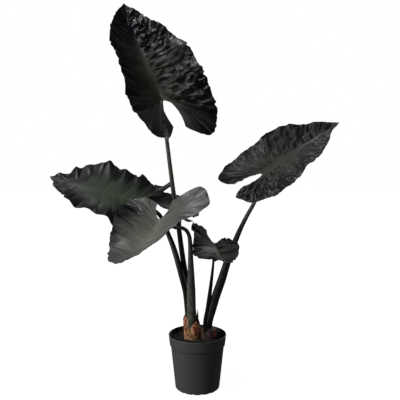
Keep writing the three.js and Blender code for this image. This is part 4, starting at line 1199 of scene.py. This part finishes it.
def make_crumbs(material):
    """Bark, peat and grit crumbs, half sunk in the soil, with moss tufts among them, by a seeded draw."""
    draw = np.random.default_rng(5)
    skins, tones = [], []
    for x, y in free_spots(draw, GRAINS, SOIL_RADIUS - 2):
        size = draw.choice(GRAIN_SIZES, p=GRAIN_SHARES)
        z = soil_height(x, y) + draw.uniform(0.2, 1.2)
        skins.append(closed_tube(lump(draw, size) + (x, y, z)))
        tones.append(GRAIN_TONES[draw.integers(len(GRAIN_TONES))])
    for x, y in free_spots(draw, MOSS_TRIES, SOIL_RADIUS - 3):
        if moss_cover(x, y) > draw.uniform(0.25, 1.0):
            z = soil_height(x, y) + draw.uniform(0.8, 2.0)
            skins.append(closed_tube(lump(draw, draw.uniform(0.8, 1.7)) * (1, 1, MOSS_TALLER) + (x, y, z)))
            tones.append(MOSS_TONES[draw.integers(len(MOSS_TONES))])
    make_piece("soil_crumbs", gather(skins), material, "potting_soil",
               tint=np.repeat([linear(code) for code in tones], [len(points) for points, _ in skins], axis=0))


# Pot.

def rounded(points, radius, steps=4):
    """A profile with each inner corner cut by a short quadratic curve, tangent to both of its lines."""
    points = np.asarray(points, float)
    before, corner, after = points[:-2], points[1:-1], points[2:]
    start, finish = (corner + unit(end - corner)
                     * np.minimum(radius, 0.45 * np.linalg.norm(end - corner, axis=1))[:, None]
                     for end in (before, after))
    s = np.linspace(0, 1, steps)[None, :, None]
    curve = (1 - s) ** 2 * start[:, None] + 2 * s * (1 - s) * corner[:, None] + s ** 2 * finish[:, None]
    return np.vstack([points[:1], curve.reshape(-1, 2), points[-1:]])


def make_pot(material):
    """The pot: one closed profile turned round its axis, with drain slots cut through its bottom edge."""
    wall = POT_WALL
    profile = rounded([
        (POLE, 0), (POT_BASE_RADIUS, 0), POT_BODY_FOOT, POT_BODY_TOP, POT_COLLAR_FOOT,
        (POT_RIM_RADIUS - 0.5, POT_HEIGHT - 3), (POT_RIM_RADIUS, POT_HEIGHT - 1.2),
        (POT_RIM_RADIUS - 1, POT_HEIGHT), (POT_RIM_RADIUS - wall - 0.5, POT_HEIGHT),
        (POT_COLLAR_FOOT[0] - wall, POT_COLLAR_FOOT[1] + wall),
        (POT_BODY_TOP[0] - wall, POT_BODY_TOP[1] + wall / 3),
        (POT_BODY_FOOT[0] - wall, POT_BODY_FOOT[1] + wall / 2), (POT_BASE_RADIUS - wall / 3, POT_FLOOR),
        (POLE, POT_FLOOR)], POT_ROUNDING)
    angle = np.linspace(0, 2 * np.pi, POT_SEGMENTS, endpoint=False)
    turn, radius = np.meshgrid(angle, profile[:, 0], indexing="xy")
    z = np.repeat(profile[:, 1:], POT_SEGMENTS, 1)
    rings = np.stack([radius * np.cos(turn), radius * np.sin(turn), z], -1)
    past_lip = np.arange(len(profile)) > np.argmax(profile[:, 1])
    # The inner wall is marked, to be painted dark as painted shade.
    inside = np.concatenate([[0], past_lip & (profile[:, 0] < POT_RIM_RADIUS - wall), [1]])
    pot = make_piece("nursery_pot", closed_tube(rings), material, "pot_plastic", "pot",
                     sharp_deg=POT_SHARP_DEG, inside=np.repeat(inside, POT_SEGMENTS))
    cutter = slot_cutter()
    cut = pot.modifiers.new("drain_slots", "BOOLEAN")
    cut.object = cutter
    cut.solver = "EXACT"
    solid = bpy.data.meshes.new_from_object(pot.evaluated_get(bpy.context.evaluated_depsgraph_get()))
    pot.modifiers.clear()
    pot.data = solid
    solid.set_sharp_from_angle(angle=math.radians(POT_SHARP_DEG))
    bpy.data.objects.remove(cutter)


def slot_cutter():
    """The boxes that cut the drain slots, spread evenly round the pot's bottom edge."""
    depth, width, height = (size * MM for size in DRAIN_SIZE)
    work = bmesh.new()
    for n in range(DRAIN_COUNT):
        turn = 2 * math.pi * (n + 0.5) / DRAIN_COUNT
        box = bmesh.ops.create_cube(work, size=1)["verts"]
        bmesh.ops.scale(work, vec=(depth, width, height), verts=box)
        bmesh.ops.translate(work, vec=(DRAIN_INNER_RADIUS * MM + depth / 2, 0, 0), verts=box)
        bmesh.ops.rotate(work, cent=(0, 0, 0), matrix=Matrix.Rotation(turn, 3, "Z"), verts=box)
    mesh = bpy.data.meshes.new("slot_cutter")
    work.to_mesh(mesh)
    work.free()
    return new_object("slot_cutter", mesh)


# Stage, lights and camera.

def make_floor():
    """A plain floor that glows white, so that it meets the white surroundings without an edge.

    Its glow is full far out and a touch lower round the pot, where the plant's soft shadow shows. It lights
    nothing and no gloss mirrors it.
    """
    half = FLOOR_HALF
    mesh = bpy.data.meshes.new("floor")
    mesh.from_pydata([(-half, -half, 0), (half, -half, 0), (half, half, 0), (-half, half, 0)], [],
                     [(0, 1, 2, 3)])
    material, tree, shader, place = new_material("white_floor")
    far = add(tree, "ShaderNodeVectorMath", {0: place}, operation="LENGTH").outputs["Value"]
    glow = add(tree, "ShaderNodeMapRange", {"Value": far, "From Max": FULL_GLOW_FROM,
                                            "To Min": FLOOR_GLOW[0], "To Max": FLOOR_GLOW[1]})
    shader.inputs["Base Color"].default_value = (0.1, 0.1, 0.1, 1)
    shader.inputs["Roughness"].default_value = 0.95
    shader.inputs["Emission Color"].default_value = (1, 1, 1, 1)
    tree.links.new(glow.outputs["Result"], shader.inputs["Emission Strength"])
    mesh.materials.append(material)
    floor = new_object("floor", mesh)
    floor.visible_diffuse = False
    floor.visible_glossy = False


def soft_light(name, place, aim, size, watts):
    """A square softbox at a place, turned to face a point."""
    lamp = bpy.data.lights.new(name, "AREA")
    lamp.size = size
    lamp.energy = watts
    light = new_object(name, lamp)
    light.location = place
    away = np.array(place, float) - np.array(aim, float)
    level = math.hypot(away[0], away[1])
    light.rotation_euler = (math.atan2(level, away[2]), 0, math.atan2(away[0], -away[1]))


def make_lights():
    """Soft studio light in white surroundings, which are seen white and light the plant only weakly.

    A large box and a small one hang overhead, a key stands at the upper left and a wide box low at the
    left, with a weak fill at the right and a wide, strong box behind.
    """
    for name, (place, aim, size, watts) in LIGHTS.items():
        soft_light(name, place, aim, size, watts)
    world = bpy.data.worlds.new("studio")
    bpy.context.scene.world = world
    world.use_nodes = True
    tree = world.node_tree
    sky = tree.nodes["Background"]
    seen = add(tree, "ShaderNodeLightPath").outputs["Is Camera Ray"]
    strength = add(tree, "ShaderNodeMapRange", {"Value": seen, "To Min": SURROUND_LIGHT, "To Max": 1.0})
    tree.links.new(strength.outputs["Result"], sky.inputs["Strength"])
    sky.inputs["Color"].default_value = (1, 1, 1, 1)


def make_camera():
    """The photograph's viewpoint. The focal length is given in frame widths."""
    lens = bpy.data.cameras.new("camera")
    lens.sensor_width = SENSOR_MM
    lens.lens = SENSOR_MM * FOCAL_IN_FRAMES
    lens.clip_end = 50
    camera = new_object("camera", lens)
    camera.location = CAMERA_PLACE
    camera.rotation_euler = (math.radians(90 - CAMERA_DOWN_DEG), 0, 0)
    bpy.context.scene.camera = camera


make_camera()
make_lights()
make_floor()
make_pot(moulded_pot())
potting = potting_mix()
make_soil(potting)
make_crumbs(potting)
sheath_skin = papery_sheath()
for corm in CORMS:
    make_corm(corm, dry_fibre(f"dry_fibre_{corm['name']}", *corm["tones"]), sheath_skin)

for leaf in LEAVES:
    make_blade(leaf, waxy_leaf(leaf))
    make_stem(leaf, fleshy_stem(leaf))

bpy.context.scene.view_settings.view_transform = "Standard"
